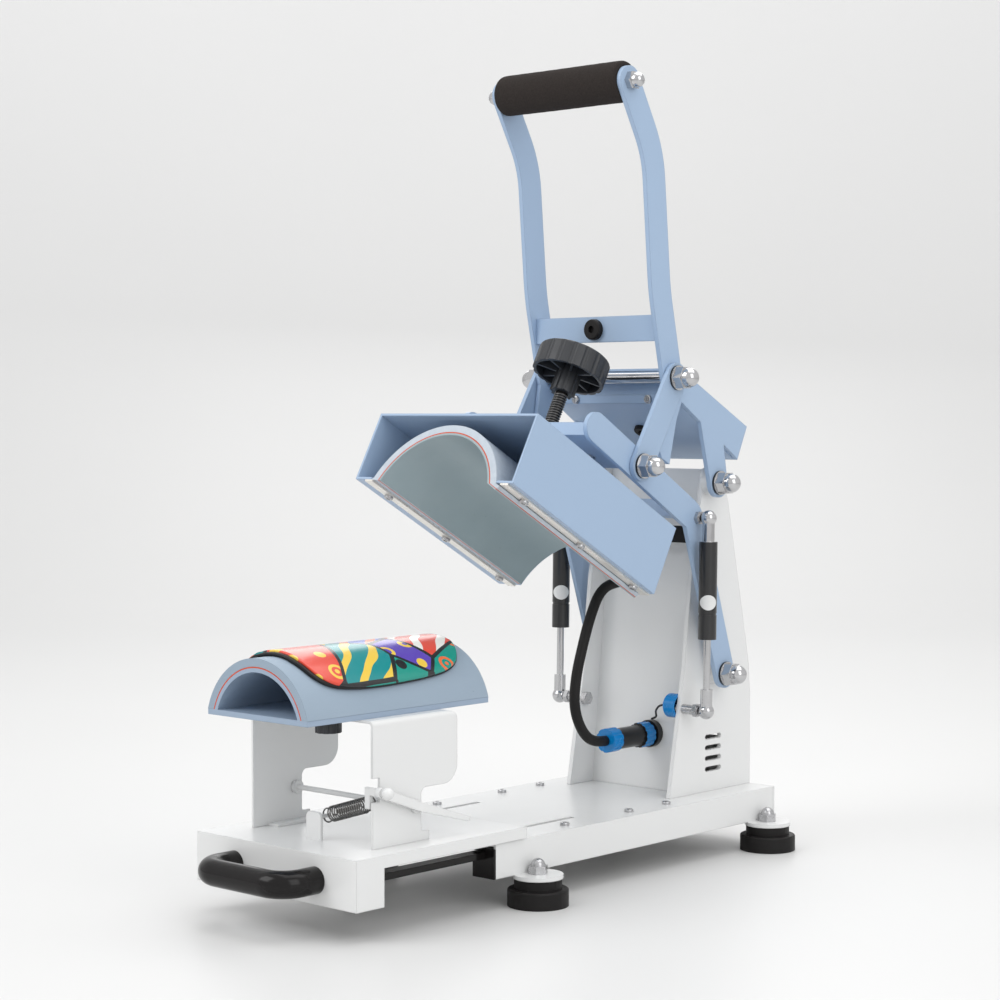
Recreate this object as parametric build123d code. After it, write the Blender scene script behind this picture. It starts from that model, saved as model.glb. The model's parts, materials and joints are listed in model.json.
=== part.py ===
from build123d import *
import math
import os

# Shin guard heat press, in millimetres, +Z up, with the operator on the -Y side.
# The origin is on the floor under the middle of the bounding box; X = 0 is the plane of symmetry.
# The rest pose is the open press: handle up, head tilted back, drawer pulled out.

# Base frame, a folded tray that is open below and in front
BASE_FRONT = -85.0
BASE_REAR = 265.0
BASE_HALF = 81.5
BASE_BOTTOM = 23.6
BASE_TOP = BASE_BOTTOM + 25.9
BASE_SHEET = 2.0
BASE_LIP = 17.0
BASE_SLOT = (50.0, 5.0, -31.0, 39.0)
BASE_SCREW_X = BASE_HALF - 13.5
BASE_SCREW_YS = (8.0, 86.0, 134.0)
REAR_COVER_SHEET = 2.0
COVER_SCREW_X = BASE_SCREW_X + 4.0
WIRE_HOLE = 20.0
SCREW_HOLE = 4.1

# Feet
FOOT_X = BASE_HALF + 8.1
FOOT_YS = (-47.4, 244.0)
FOOT_RADIUS = 23.0
FOOT_HEIGHT = 13.0
FOOT_NECK_RADIUS = 18.0
FOOT_TAB_RADIUS = 19.0
FOOT_TAB_SHEET = 3.0
FOOT_STUD = 8.0
FOOT_STUD_DEPTH = 12.0
FOOT_NUT = (13.0, 6.0, 5.6)

# Mains inlet and rocker switch in the rear cover
INLET_X = -34.0
INLET_BODY = (27.0, 19.6, 20.0)
INLET_FLANGE = (48.0, 22.5, 2.0)
INLET_SOCKET = (24.0, 16.0, 15.0)
INLET_PIN = (2.0, 4.0, 12.0)
SWITCH_X = 32.0
SWITCH_BODY = (30.0, 18.0, 12.0)
SWITCH_FRAME = (34.0, 22.0, 1.6)
SWITCH_HOLE = (26.0, 13.6)
ROCKER_HALF = 12.4
ROCKER_DEPTH = 3.0
ROCKER_RISE = 2.6
ROCKER_DIP = 1.2
ROCKER_TILT = 8.0

# Column, a channel that is open behind, where its cover closes it
COLUMN_HALF = 55.6
COLUMN_SHEET = 4.0
COLUMN_FOOT_FRONT = 154.4
COLUMN_TOP = 320.5
COLUMN_TOP_FILLET = 9.0
WEB_FOOT_Y = 184.0
WEB_HEAD_Y = 210.0
WEB_HEAD_Z = 319.0
WEB_SHEET = 3.0
VENT_CENTRE = (213.0, 81.6)
VENT_SLOT = (22.0, 4.0)
VENT_PITCH = 9.0
VENT_COUNT = 4

# Linkage pivots, as (y, z) with the press open
ARM_PIVOT = (213.5, 148.7)
LEVER_PIVOT = (203.9, 307.9)
LINK_PIVOT = (97.5, 323.8)
KNEE_PIVOT = (141.2, 394.0)
GRIP_AXIS = (86.0, 626.0)
ARM_TRAVEL = 28.8
PIVOT_DIAMETER = 10.0
PIVOT_FIT = 0.05
THREAD_GAP = 0.05
BAR_WIDTH = 24.0
PLATE_IN = COLUMN_HALF + 8.4
PLATE_OUT = PLATE_IN + 4.0
LINK_GAP = 0.5
LINK_SHEET = 4.0
FACE_GAP = 0.1
WASHER = (20.0, 2.0)
NUT_FLATS = 17.0
NUT_HEIGHT = 18.0
NUT_HEX = 8.0
SPACER_DIAMETER = 20.0

# Arm
ARM_FRONT = (46.0, 354.5)
ARM_ELBOW = (169.5, 281.1)
ARM_ELBOW_RADIUS = 14.0

# Pad, guard and arch axis, which the lower platen and the head share
STAND_TOP = 149.5
ARCH_Z = STAND_TOP - 10.7
PAD_OUTER_RADIUS = 54.6
GUARD_GAP = 0.3
GUARD_FOAM = 2.1
GUARD_SHELL = 2.2

# Head, given in the closed pose, where the box lies level; the arm travel then opens it
PLATE_INNER_RADIUS = PAD_OUTER_RADIUS + GUARD_GAP + GUARD_FOAM + GUARD_SHELL + 0.4
PLATE_SHEET = 1.6
SEAL_SHEET = 1.0
BACKING_OUTER_RADIUS = PLATE_INNER_RADIUS + 8.4
ELEMENT_SETBACK = 1.0
BOX_HALF = BACKING_OUTER_RADIUS + 15.0
BOX_FRONT = -112.8
BOX_REAR = 77.2
BOX_TOP = ARCH_Z + BACKING_OUTER_RADIUS + 9.7
BOX_BOTTOM = ARCH_Z + 19.3
BOX_SHEET = 2.0
BOX_LIP_IN = BACKING_OUTER_RADIUS - 2.0
STRIP_IN = BOX_LIP_IN - 2.0
STRIP_OUT = STRIP_IN + 8.0
STRIP_SHEET = 1.6
STRIP_SHIFT = 6.3
STRIP_SCREWS = (26.0, 100.0, 173.0)
FLARE_DROP = 5.2
FLARE_OUT = 9.8
FLARE_END = (3.8, 3.3)
SCREW_Y = -13.0
SCREW_DIAMETER = 10.0
SCREW_FLOOR = 2.2
BOSS_DIAMETER = 24.0
BOSS_HEIGHT = 14.0
GUIDE_X = 30.0
GUIDE_OFFSET = 25.0
GUIDE_DIAMETER = 8.0
GUIDE_LENGTH = 45.0
CROSS_PLATE_Z = BOX_TOP + 29.0
CROSS_PLATE_SHEET = 4.0
CROSS_PLATE_FRONT = -25.0
CROSS_PLATE_REAR = 31.0
CROSS_LIP_TOP = CROSS_PLATE_Z + 11.5
CROSS_LIP_SHEET = 3.0
SCREW_NUT = (22.0, 8.0)
TIE = (94.0, 98.0, 235.0, 250.0)
GLAND_X = 40.0
GLAND_Z = BOX_TOP - 12.5
GLAND_DIAMETER = 14.0
GLAND_LENGTH = 14.0
ARM_STOP = (183.5, 190.5, 258.3, 272.0)

# Pressure knob, by its heights above the top of the box
KNOB_RADIUS = 30.0
KNOB_HUB_BOTTOM = 73.5
KNOB_RIM_BOTTOM = 88.5
KNOB_TOP = 108.5
KNOB_WALL = 3.0
KNOB_FLUTES = 18
KNOB_FLUTE_DEPTH = 1.0
KNOB_HUB_RADIUS = 9.0
KNOB_SPOKES = 8
KNOB_SPOKE_SHEET = 2.0

# Lever and handle
LEVER_BENDS = ((116.8, 571.9), (125.8, 464.0))
LEVER_BEND_RADII = (90.0, 200.0)
GRIP_DIAMETER = 33.0
GRIP_BORE = 12.4
GRIP_ROD = 12.0
GRIP_THREAD = 8.0
BRACE = (124.5, 128.5, 423.5, 444.5)
BUMPER_DIAMETER = 17.0
BUMPER_LENGTH = 5.0
BUMPER_STEM = 6.0
BUMPER_BORE = 6.0
KNEE_ROD = 9.0

# Controller case between the lever plates
CASE_HALF = PLATE_IN - 0.2
CASE_TOP_FRONT = (148.0, 402.0)
CASE_TOP_REAR = (241.9, 354.3)
CASE_LOW_REAR = (228.7, 326.7)
CASE_LOW_FRONT = (154.0, 373.5)
CASE_SHEET = 1.5
PANEL_SHEET = 2.0
CASE_LIP = (373.5, 380.5, 1.5)
CASE_SCREW_X = 38.7
CASE_SCREW_Z = 377.0
GROMMET_Y = 188.9
GROMMET = (16.0, 11.0, 7.0)
DISPLAY = (52.0, 20.0, 38.0)
BUTTON_XS = (-28.0, 0.0, 28.0)
BUTTON_U = 78.0
BUTTON_DIAMETER = 9.0
BUTTON_PROUD = 2.2
BUTTON_STEM = 5.2
BUTTON_FIT = 0.1
BOARD = (45.0, 20.0, 94.0, 1.6)
BOARD_DEPTH = 8.4
BOARD_POST = 5.0
TACT_HEIGHT = 1.9

# Gas springs, from ball to ball
GAS_X = PLATE_OUT + 11.0
GAS_LOWER = (172.4, 122.0)
GAS_UPPER = (175.0, 280.0)
GAS_BALL = 13.0
GAS_NECK = 10.0
GAS_ROD = 6.0
GAS_ROD_FIT = 0.075
GAS_SOCKET_LENGTH = 18.0
GAS_TUBE = 15.0
GAS_TUBE_WALL = 1.0
GAS_TUBE_START = 59.0
GAS_TUBE_END = 139.0
GAS_TUBE_CAP = 4.0
GAS_GROOVE = 20.0
GAS_ROD_INSIDE = 34.0
GAS_PISTON = 6.0
STUD_HEX = 10.0
STUD_SHANK = 8.0
STUD_THREAD = 6.0
STUD_NUT = 5.0

# Heater socket, plug and cable
SOCKET_X = 10.0
SOCKET_Z = 96.0
SOCKET_FLANGE = 23.0
SOCKET_THREAD = 16.0
SOCKET_RING = (21.0, 169.5, 181.0)
PLUG_BARREL = (17.5, 139.0, 169.3)
PLUG_NUT = (20.0, 127.0, 139.0)
CABLE_DIAMETER = 8.6
CABLE_GAP = 0.15
CABLE_LEAD = 24.0
CABLE_ROUTE = (
    (36.0, 152.0, 230.0),
    (21.5, 132.0, 228.5),
    (12.5, 117.5, 222.5),
    (12.0, 104.0, 199.0),
    (11.2, 95.5, 175.0),
    (10.5, 88.5, 152.0),
    (10.0, 86.5, 127.0),
    (10.0, 97.0, 106.0),
)
CAP_OFFSET = (1.2, 1.8)
CAP_DIAMETER = 20.0
CAP_BORE = 16.8
CAP_DEPTH = 11.6
CAP_TOP = 2.0
STRAP_DIAMETER = 1.8

# Drawer, which straddles the base
DRAWER_SHEET = 2.0
DRAWER_HALF = BASE_HALF + 0.5 + DRAWER_SHEET
DRAWER_FRONT = -229.2
DRAWER_REAR = -53.9
DRAWER_TOP = BASE_TOP + 9.3
DRAWER_SIDE_BOTTOM = BASE_TOP + 0.5
DRAWER_FRONT_BOTTOM = BASE_BOTTOM - 0.9
DRAWER_RETURN = 27.0
HANDLE_ROOT_X = 42.5
HANDLE_Z = 40.0
HANDLE_DIAMETER = 19.6
HANDLE_REACH = 30.3
HANDLE_BEND = 16.0
LUG = (-3.5, 12.0, -195.0, -193.0)
LUG_TOP = 79.0
LUG_CORNER = 4.0
PIN_DIAMETER = 3.0
PIN_TIP_Y = -183.5

# Drawer slides
RAIL_OUTER = (BASE_HALF - 21.5, BASE_HALF - BASE_SHEET, BASE_BOTTOM + BASE_SHEET, BASE_TOP - 3.7)
RAIL_OUTER_REAR = 179.0
RAIL_CAP = 2.0
RAIL_INNER = (BASE_HALF - 19.5, BASE_HALF - 8.9, BASE_TOP - 11.5, BASE_TOP - 6.5)
RAIL_INNER_REAR = 39.0
RAIL_FIT = 0.4

# Stand and lower platen
STAND_HALF = 64.0
STAND_SHEET = 2.0
STAND_FRONT = -193.7
STAND_TOP_REAR = -107.6
STAND_FOOT_REAR = -145.3
STAND_WAIST = 97.0
STAND_HEEL = -137.0
STAND_HEEL_TOP = 65.7
STAND_BEND = 4.0
STAND_CORNERS = (6.5, 14.0, 5.0, 2.0)
STAND_FLANGE = 12.0
PLATEN_FRONT = -245.0
PLATEN_REAR = -61.6
PLATEN_HALF = PAD_OUTER_RADIUS - 2.2
PLATEN_FLOOR_TOP = STAND_TOP + 4.0
PAD_SHEET = 6.0
LOWER_SEAL_SHEET = 1.0
PLATEN_ARCH_SHEET = 3.0
THUMB_KNOB_Y = -176.0
THUMB_KNOB = (19.5, STAND_TOP - 15.5, STAND_TOP - 3.0)
THUMB_STUD = 6.0
THUMB_FLUTES = 10

# Lock lever and its spring
LOCK_IN = STAND_HALF + 2.5
LOCK_OUT = LOCK_IN + 5.0
LOCK_NOSE = (-191.0, 99.5)
LOCK_PIVOT = (-151.5, 84.5)
LOCK_TAIL = (-103.7, 70.0)
LOCK_RADII = (3.6, 3.3, 1.8)
LOCK_BALL = 9.0
LOCK_NECK = 5.0
LOCK_SHAFT = 4.0
LOCK_COLLAR = 10.0
LOCK_TAB = (LOCK_IN - 11.5, -193.0, -190.0, 96.8, 102.2)
LOCK_TAB_DROP = (5.0, 87.0)
LOCK_TAB_PIN = (LOCK_IN - 9.0, 90.5)
LOCK_SLOT = (-196.0, -187.0, 92.0, 109.0)
SPRING_Y = -187.0
SPRING_RADIUS = 5.4
SPRING_WIRE = 1.2
SPRING_TURNS = 15.5
SPRING_LOOP = 5.0
SPRING_SEAT = 0.3
LUG_PIN = (8.5, 75.5)

# Shin guard
GUARD_FRONT = -230.0
GUARD_REAR = -66.0
GUARD_LOW = ARCH_Z + 31.7
GUARD_EDGE = (
    (0.3, 20.0), (3.6, 11.8), (11.0, 5.9), (22.0, 2.3), (41.0, 0.3), (61.0, 0.0), (85.0, 0.6),
    (109.0, 1.9), (131.0, 4.4), (145.0, 8.5), (154.0, 14.0), (160.5, 22.0),
)

BIG = 1000.0


def block(x0, x1, y0, y1, z0, z1):
    """A box between two corners."""
    centre = Pos((x0 + x1) / 2, (y0 + y1) / 2, (z0 + z1) / 2)
    return centre * Box(x1 - x0, y1 - y0, z1 - z0)


def rod_x(y, z, diameter, x0, x1):
    """A cylinder along X."""
    return Pos((x0 + x1) / 2, y, z) * Rot(0, 90, 0) * Cylinder(diameter / 2, abs(x1 - x0))


def rod_y(x, z, diameter, y0, y1):
    """A cylinder along Y."""
    return Pos(x, (y0 + y1) / 2, z) * Rot(90, 0, 0) * Cylinder(diameter / 2, abs(y1 - y0))


def rod_z(x, y, diameter, z0, z1):
    """A cylinder along Z."""
    return Pos(x, y, (z0 + z1) / 2) * Cylinder(diameter / 2, abs(z1 - z0))


def outline(points):
    """A face from the corners of an outline."""
    return make_face(Polyline(*points, close=True))


def from_side(face, x0, x1):
    """Extrude a face drawn in (y, z) from x0 to x1."""
    return extrude(Plane.YZ.offset(x0) * face, amount=x1 - x0)


def from_front(face, y0, y1):
    """Extrude a face drawn in (x, z) from y0 to y1."""
    return extrude(Plane.XZ.offset(-y1) * face, amount=y1 - y0)


def bar_face(points, radii):
    """A strip of the bar width with round ends that follows a bent line."""
    line = FilletPolyline(*points, radius=radii) if len(points) > 2 else Line(*points)
    strip = make_face(offset(line, amount=BAR_WIDTH / 2, side=Side.BOTH))
    for end in (points[0], points[-1]):
        strip += Pos(*end) * Circle(BAR_WIDTH / 2)
    return strip


def taper_face(centres, radii):
    """The outline round circles in a row, each joined to the next by their outer tangents."""
    face = Pos(*centres[0]) * Circle(radii[0])
    for (a, b), (ra, rb) in zip(zip(centres, centres[1:]), zip(radii, radii[1:])):
        run = math.dist(a, b)
        heading = math.atan2(b[1] - a[1], b[0] - a[0])
        lean = math.acos((ra - rb) / run)
        corners = []
        for (cy, cz), radius, sides in ((a, ra, (1, -1)), (b, rb, (-1, 1))):
            for side in sides:
                angle = heading + side * lean
                corners.append((cy + radius * math.cos(angle), cz + radius * math.sin(angle)))
        face += outline(corners) + Pos(*b) * Circle(rb)
    return face


def mirrored(solid):
    """The same piece on the other side of the plane of symmetry."""
    return mirror(solid, about=Plane.YZ)


def both_sides(*solids):
    """Each piece and its mirror image."""
    return list(solids) + [mirrored(solid) for solid in solids]


def about_pivot(solid, pivot, degrees):
    """Turn a piece about an axis along X through a pivot."""
    y, z = pivot
    return Pos(0, y, z) * Rot(degrees, 0, 0) * Pos(0, -y, -z) * solid


def opened(solid):
    """Swing a piece of the head from its closed pose to the open one."""
    return about_pivot(solid, ARM_PIVOT, -ARM_TRAVEL)


def opened_point(x, y, z):
    """Swing a point of the head from its closed pose to the open one."""
    turn = math.radians(-ARM_TRAVEL)
    dy = y - ARM_PIVOT[0]
    dz = z - ARM_PIVOT[1]
    return (
        x,
        ARM_PIVOT[0] + dy * math.cos(turn) - dz * math.sin(turn),
        ARM_PIVOT[1] + dy * math.sin(turn) + dz * math.cos(turn),
    )


def hexagon(flats):
    """A hexagon by its width across flats."""
    return RegularPolygon(flats / 2 / math.cos(math.pi / 6), 6)


def washer(y, z, x0, bore):
    """A flat washer that starts at x0."""
    diameter, sheet = WASHER
    return rod_x(y, z, diameter, x0, x0 + sheet) - rod_x(y, z, bore, x0 - 1, x0 + sheet + 1)


def dome_nut(y, z, x0, thread, flats=NUT_FLATS, height=NUT_HEIGHT, hex_height=NUT_HEX):
    """A dome nut that starts at x0, with a blind hole for its thread."""
    dome = flats * 0.47
    nut = from_side(Pos(y, z) * hexagon(flats), x0, x0 + hex_height)
    nut += rod_x(y, z, 2 * dome, x0 + hex_height, x0 + height - dome)
    nut += Pos(x0 + height - dome, y, z) * Sphere(dome)
    return nut - rod_x(y, z, thread + 2 * THREAD_GAP, x0 - 1, x0 + height / 2)


def write(name, solids):
    """Write one node from its separate pieces."""
    pieces = []
    for solid in solids:
        pieces.extend(solid.solids())
    export_step(Compound(pieces), f"parts/{name}.step")


def base_frame():
    rear = BASE_REAR - REAR_COVER_SHEET
    top = block(-BASE_HALF, BASE_HALF, BASE_FRONT, rear, BASE_TOP - BASE_SHEET, BASE_TOP)
    side = block(BASE_HALF - BASE_SHEET, BASE_HALF, BASE_FRONT, rear, BASE_BOTTOM, BASE_TOP)
    side += block(BASE_HALF - BASE_LIP, BASE_HALF, BASE_FRONT, rear, BASE_BOTTOM, BASE_BOTTOM + BASE_SHEET)
    for y in FOOT_YS:
        side += rod_z(FOOT_X, y, 2 * FOOT_TAB_RADIUS, BASE_BOTTOM - FOOT_TAB_SHEET, BASE_BOTTOM)
        side -= rod_z(FOOT_X, y, FOOT_STUD + 2 * THREAD_GAP, 0, BASE_BOTTOM + 1)
    frame = top + side + mirrored(side)
    slot_x, slot_width, slot_front, slot_rear = BASE_SLOT
    for x in (-slot_x, slot_x):
        half = slot_width / 2
        frame -= block(x - half, x + half, slot_front, slot_rear, BASE_TOP - 2 * BASE_SHEET, BASE_TOP + 1)
    for x in (-BASE_SCREW_X, BASE_SCREW_X):
        for y in BASE_SCREW_YS:
            frame -= rod_z(x, y, SCREW_HOLE, BASE_TOP - 2 * BASE_SHEET, BASE_TOP + 1)
    wire_y = (WEB_FOOT_Y + BASE_REAR) / 2
    frame -= rod_z(0, wire_y, WIRE_HOLE, BASE_TOP - 2 * BASE_SHEET, BASE_TOP + 1)
    return [frame]


def rear_cover():
    y0 = BASE_REAR - REAR_COVER_SHEET
    cover = block(-BASE_HALF, BASE_HALF, y0, BASE_REAR, BASE_BOTTOM, BASE_TOP)
    middle = rear_middle()
    for x, body in ((INLET_X, INLET_BODY), (SWITCH_X, SWITCH_BODY)):
        width, height, _ = body
        half = width / 2 + THREAD_GAP
        rise = height / 2 + THREAD_GAP
        cover -= block(x - half, x + half, y0 - 1, BASE_REAR + 1, middle - rise, middle + rise)
    for x in (-COVER_SCREW_X, COVER_SCREW_X):
        cover -= rod_y(x, middle, SCREW_HOLE, y0 - 1, BASE_REAR + 1)
    return [cover]


def rear_middle():
    """Height of the middle of the rear cover."""
    return (BASE_BOTTOM + BASE_TOP) / 2


def pan_screw():
    """A small pan head screw along +Z with the underside of its head at the origin."""
    head = Pos(0, 0, 1.2) * Cylinder(3.6, 2.4)
    head = fillet(head.edges().group_by(Axis.Z)[-1], 1.0)
    cross = Pos(0, 0, 2.2) * (Box(4.0, 0.9, 1.2) + Box(0.9, 4.0, 1.2))
    return head + Pos(0, 0, -1.5) * Cylinder(2.0, 3.0) - cross


def base_screws():
    """Screws of the base top and rear cover, and the stud and dome nut of each foot."""
    screws = []
    for x in (-BASE_SCREW_X, BASE_SCREW_X):
        for y in BASE_SCREW_YS:
            screws.append(Pos(x, y, BASE_TOP) * pan_screw())
    for x in (-COVER_SCREW_X, COVER_SCREW_X):
        screws.append(Pos(x, BASE_REAR, rear_middle()) * Rot(-90, 0, 0) * pan_screw())
    flats, hex_height, dome_radius = FOOT_NUT
    for x in (-FOOT_X, FOOT_X):
        for y in FOOT_YS:
            stud = rod_z(x, y, FOOT_STUD, FOOT_STUD_DEPTH, BASE_BOTTOM + 5)
            nut = Pos(x, y, BASE_BOTTOM) * extrude(hexagon(flats), amount=hex_height)
            dome = Pos(x, y, BASE_BOTTOM + hex_height) * Sphere(dome_radius)
            dome -= block(x - 9, x + 9, y - 9, y + 9, 0, BASE_BOTTOM)
            screws.append(stud + nut + dome)
    return screws


def arm_stop():
    """Rubber bar across the front of the column, where the tie of the arm comes to rest."""
    inner = COLUMN_HALF - COLUMN_SHEET
    return block(-inner, inner, *ARM_STOP)


def rubber_feet():
    feet = []
    neck_top = BASE_BOTTOM - FOOT_TAB_SHEET
    for x in (-FOOT_X, FOOT_X):
        for y in FOOT_YS:
            pad = rod_z(x, y, 2 * FOOT_RADIUS, 0, FOOT_HEIGHT)
            pad = fillet(pad.edges().group_by(Axis.Z)[-1], 1.5)
            neck = rod_z(x, y, 2 * FOOT_NECK_RADIUS, FOOT_HEIGHT, neck_top)
            bore = rod_z(x, y, FOOT_STUD + 2 * THREAD_GAP, FOOT_STUD_DEPTH, neck_top + 1)
            feet.append(pad + neck - bore)
    return feet


def inlet_module():
    middle = rear_middle()
    width, height, depth = INLET_BODY
    flange_width, flange_height, flange_sheet = INLET_FLANGE
    body = block(
        INLET_X - width / 2, INLET_X + width / 2, BASE_REAR - depth, BASE_REAR,
        middle - height / 2, middle + height / 2,
    )
    body += block(
        INLET_X - flange_width / 2, INLET_X + flange_width / 2, BASE_REAR, BASE_REAR + flange_sheet,
        middle - flange_height / 2, middle + flange_height / 2,
    )
    socket_width, socket_height, socket_depth = INLET_SOCKET
    outer = BASE_REAR + flange_sheet
    floor = outer - socket_depth
    body -= block(
        INLET_X - socket_width / 2, INLET_X + socket_width / 2, floor, outer + 1,
        middle - socket_height / 2, middle + socket_height / 2,
    )
    pin_width, pin_height, pin_length = INLET_PIN
    for x, z in ((-7.0, -1.5), (0.0, 2.5), (7.0, -1.5)):
        body += block(
            INLET_X + x - pin_width / 2, INLET_X + x + pin_width / 2, floor - 1, floor + pin_length,
            middle + z - pin_height / 2, middle + z + pin_height / 2,
        )
    frame = switch_frame()
    return [body, frame]


def switch_frame():
    """Housing that the rocker tilts in."""
    middle = rear_middle()
    width, height, depth = SWITCH_BODY
    frame_width, frame_height, frame_sheet = SWITCH_FRAME
    hole_width, hole_height = SWITCH_HOLE
    frame = block(
        SWITCH_X - width / 2, SWITCH_X + width / 2, BASE_REAR - depth, BASE_REAR,
        middle - height / 2, middle + height / 2,
    )
    frame += block(
        SWITCH_X - frame_width / 2, SWITCH_X + frame_width / 2, BASE_REAR, BASE_REAR + frame_sheet,
        middle - frame_height / 2, middle + frame_height / 2,
    )
    return frame - block(
        SWITCH_X - hole_width / 2, SWITCH_X + hole_width / 2, BASE_REAR - depth + 2, BASE_REAR + 5,
        middle - hole_height / 2, middle + hole_height / 2,
    )


def rocker_switch():
    """Rocker with a pin that rests in the housing, tilted to its off side."""
    height = SWITCH_HOLE[1] - 0.6
    face = outline([
        (-ROCKER_HALF, -ROCKER_DEPTH), (ROCKER_HALF, -ROCKER_DEPTH), (ROCKER_HALF, ROCKER_RISE),
        (0, ROCKER_DIP), (-ROCKER_HALF, ROCKER_RISE),
    ])
    rocker = Pos(0, 0, -height / 2) * extrude(face, amount=height)
    return [Pos(SWITCH_X, BASE_REAR, rear_middle()) * Rot(0, 0, -ROCKER_TILT) * rocker]


def web_front(z):
    """Front face of the column web at a height."""
    return WEB_FOOT_Y + (WEB_HEAD_Y - WEB_FOOT_Y) * (z - BASE_TOP) / (WEB_HEAD_Z - BASE_TOP)


def column_outline():
    """Side outline of the column, drawn as (y, z)."""
    return outline([
        (COLUMN_FOOT_FRONT, BASE_TOP), (174.2, 155.0), (182.4, 226.3), (195.9, 297.6),
        (198.5, COLUMN_TOP), (222.0, COLUMN_TOP), (233.1, 290.1), (258.9, 172.5),
        (BASE_REAR - 1.9, 151.9), (BASE_REAR, 127.0), (BASE_REAR, BASE_TOP),
    ])


def column_flange():
    """Right flange of the column, without holes."""
    face = column_outline()
    face = fillet(face.vertices().group_by(Axis.Y)[-1], COLUMN_TOP_FILLET)
    return from_side(face, COLUMN_HALF - COLUMN_SHEET, COLUMN_HALF)


def column():
    flange = column_flange()
    for y, z in (ARM_PIVOT, LEVER_PIVOT):
        flange -= rod_x(y, z, PIVOT_DIAMETER + 2 * THREAD_GAP, 0, BIG)
    flange -= rod_x(*GAS_LOWER, STUD_THREAD + 2 * THREAD_GAP, 0, BIG)
    left = mirrored(flange)
    length, height = VENT_SLOT
    for i in range(VENT_COUNT):
        z = VENT_CENTRE[1] + (i - (VENT_COUNT - 1) / 2) * VENT_PITCH
        slot = Pos(VENT_CENTRE[0], z) * SlotOverall(length, height)
        flange -= from_side(slot, 0, BIG)
    inner = COLUMN_HALF - COLUMN_SHEET
    web = from_side(outline([
        (WEB_FOOT_Y, BASE_TOP), (WEB_FOOT_Y + WEB_SHEET, BASE_TOP),
        (WEB_HEAD_Y + WEB_SHEET, WEB_HEAD_Z), (WEB_HEAD_Y, WEB_HEAD_Z),
    ]), -inner, inner)
    web -= rod_y(SOCKET_X, SOCKET_Z, SOCKET_THREAD + 2 * THREAD_GAP, 0, BIG)
    floor = block(-inner, inner, WEB_FOOT_Y, BASE_REAR - 10, BASE_TOP, BASE_TOP + BASE_SHEET)
    floor -= rod_z(0, (WEB_FOOT_Y + BASE_REAR) / 2, WIRE_HOLE, 0, BIG)
    return [flange + left + web + floor]


def column_cover():
    """Folded cover that closes the channel behind, just inside the flanges."""
    sheet = 1.5
    gap = FACE_GAP
    half = COLUMN_HALF - COLUMN_SHEET - gap
    back = [
        (BASE_REAR - 1, BASE_TOP + BASE_SHEET), (BASE_REAR - 1, 127.0), (BASE_REAR - 2.9, 151.5),
        (257.8, 172.3), (232.0, 289.6), (222.5, 315.5),
    ]
    front = [(y - sheet, z) for y, z in reversed(back)]
    cover = from_side(outline(back + front), -half, half)
    for z in (90.0, 102.0, 114.0):
        slot = Pos(0, z) * SlotOverall(50.0, 5.0)
        cover -= from_front(slot, BASE_REAR - 10, BASE_REAR + 10)
    return [cover]


def column_pivots():
    """Stud, spacer, washer and dome nut of each arm and lever pivot."""
    right = []
    inner = COLUMN_HALF - COLUMN_SHEET
    for y, z in (ARM_PIVOT, LEVER_PIVOT):
        stack_end = PLATE_OUT + FACE_GAP
        nut_start = stack_end + WASHER[1]
        stud = rod_x(y, z, PIVOT_DIAMETER, inner, nut_start + NUT_HEIGHT / 2 - 0.2)
        spacer = rod_x(y, z, SPACER_DIAMETER, COLUMN_HALF, PLATE_IN - FACE_GAP)
        spacer -= rod_x(y, z, PIVOT_DIAMETER + 2 * THREAD_GAP, 0, BIG)
        right += [stud, spacer, washer(y, z, stack_end, PIVOT_DIAMETER + 2 * THREAD_GAP)]
        right.append(dome_nut(y, z, nut_start, PIVOT_DIAMETER))
    return both_sides(*right)


def ball_stud(y, z, x_plate, x_seat, x_inner):
    """Stud that carries a gas spring end: nut inside, thread, shank and hexagon outside."""
    tip = GAS_X - GAS_BALL / 2 - 0.2
    stud = rod_x(y, z, STUD_THREAD, x_inner, x_seat)
    stud += rod_x(y, z, STUD_SHANK, x_seat, tip)
    stud += from_side(Pos(y, z) * hexagon(STUD_HEX), max(x_seat, tip - 5), tip - 1)
    nut = from_side(Pos(y, z) * hexagon(STUD_HEX), x_inner, x_plate)
    return stud + nut


def lower_ball_studs():
    inner = COLUMN_HALF - COLUMN_SHEET
    return both_sides(ball_stud(*GAS_LOWER, inner, COLUMN_HALF, inner - STUD_NUT))


def upper_ball_studs():
    return both_sides(ball_stud(*GAS_UPPER, PLATE_IN, PLATE_OUT, PLATE_IN - STUD_NUT))


def gas_axis_placed(solid):
    """Place a piece that is built up along +Z from the lower ball."""
    lean = math.degrees(math.atan2(GAS_UPPER[0] - GAS_LOWER[0], GAS_UPPER[1] - GAS_LOWER[1]))
    return Pos(GAS_X, *GAS_LOWER) * Rot(-lean, 0, 0) * solid


def gas_length():
    """Distance between the two balls with the press open."""
    return math.dist(GAS_LOWER, GAS_UPPER)


def gas_spring_rods():
    rod_end = GAS_TUBE_START + GAS_ROD_INSIDE
    rod = Sphere(GAS_BALL / 2) + rod_z(0, 0, GAS_NECK, 0, GAS_SOCKET_LENGTH)
    rod += rod_z(0, 0, GAS_ROD, GAS_SOCKET_LENGTH, rod_end)
    piston = GAS_TUBE - 2 * GAS_TUBE_WALL - 0.4
    rod += rod_z(0, 0, piston, rod_end - GAS_PISTON, rod_end)
    return both_sides(gas_axis_placed(rod))


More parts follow.
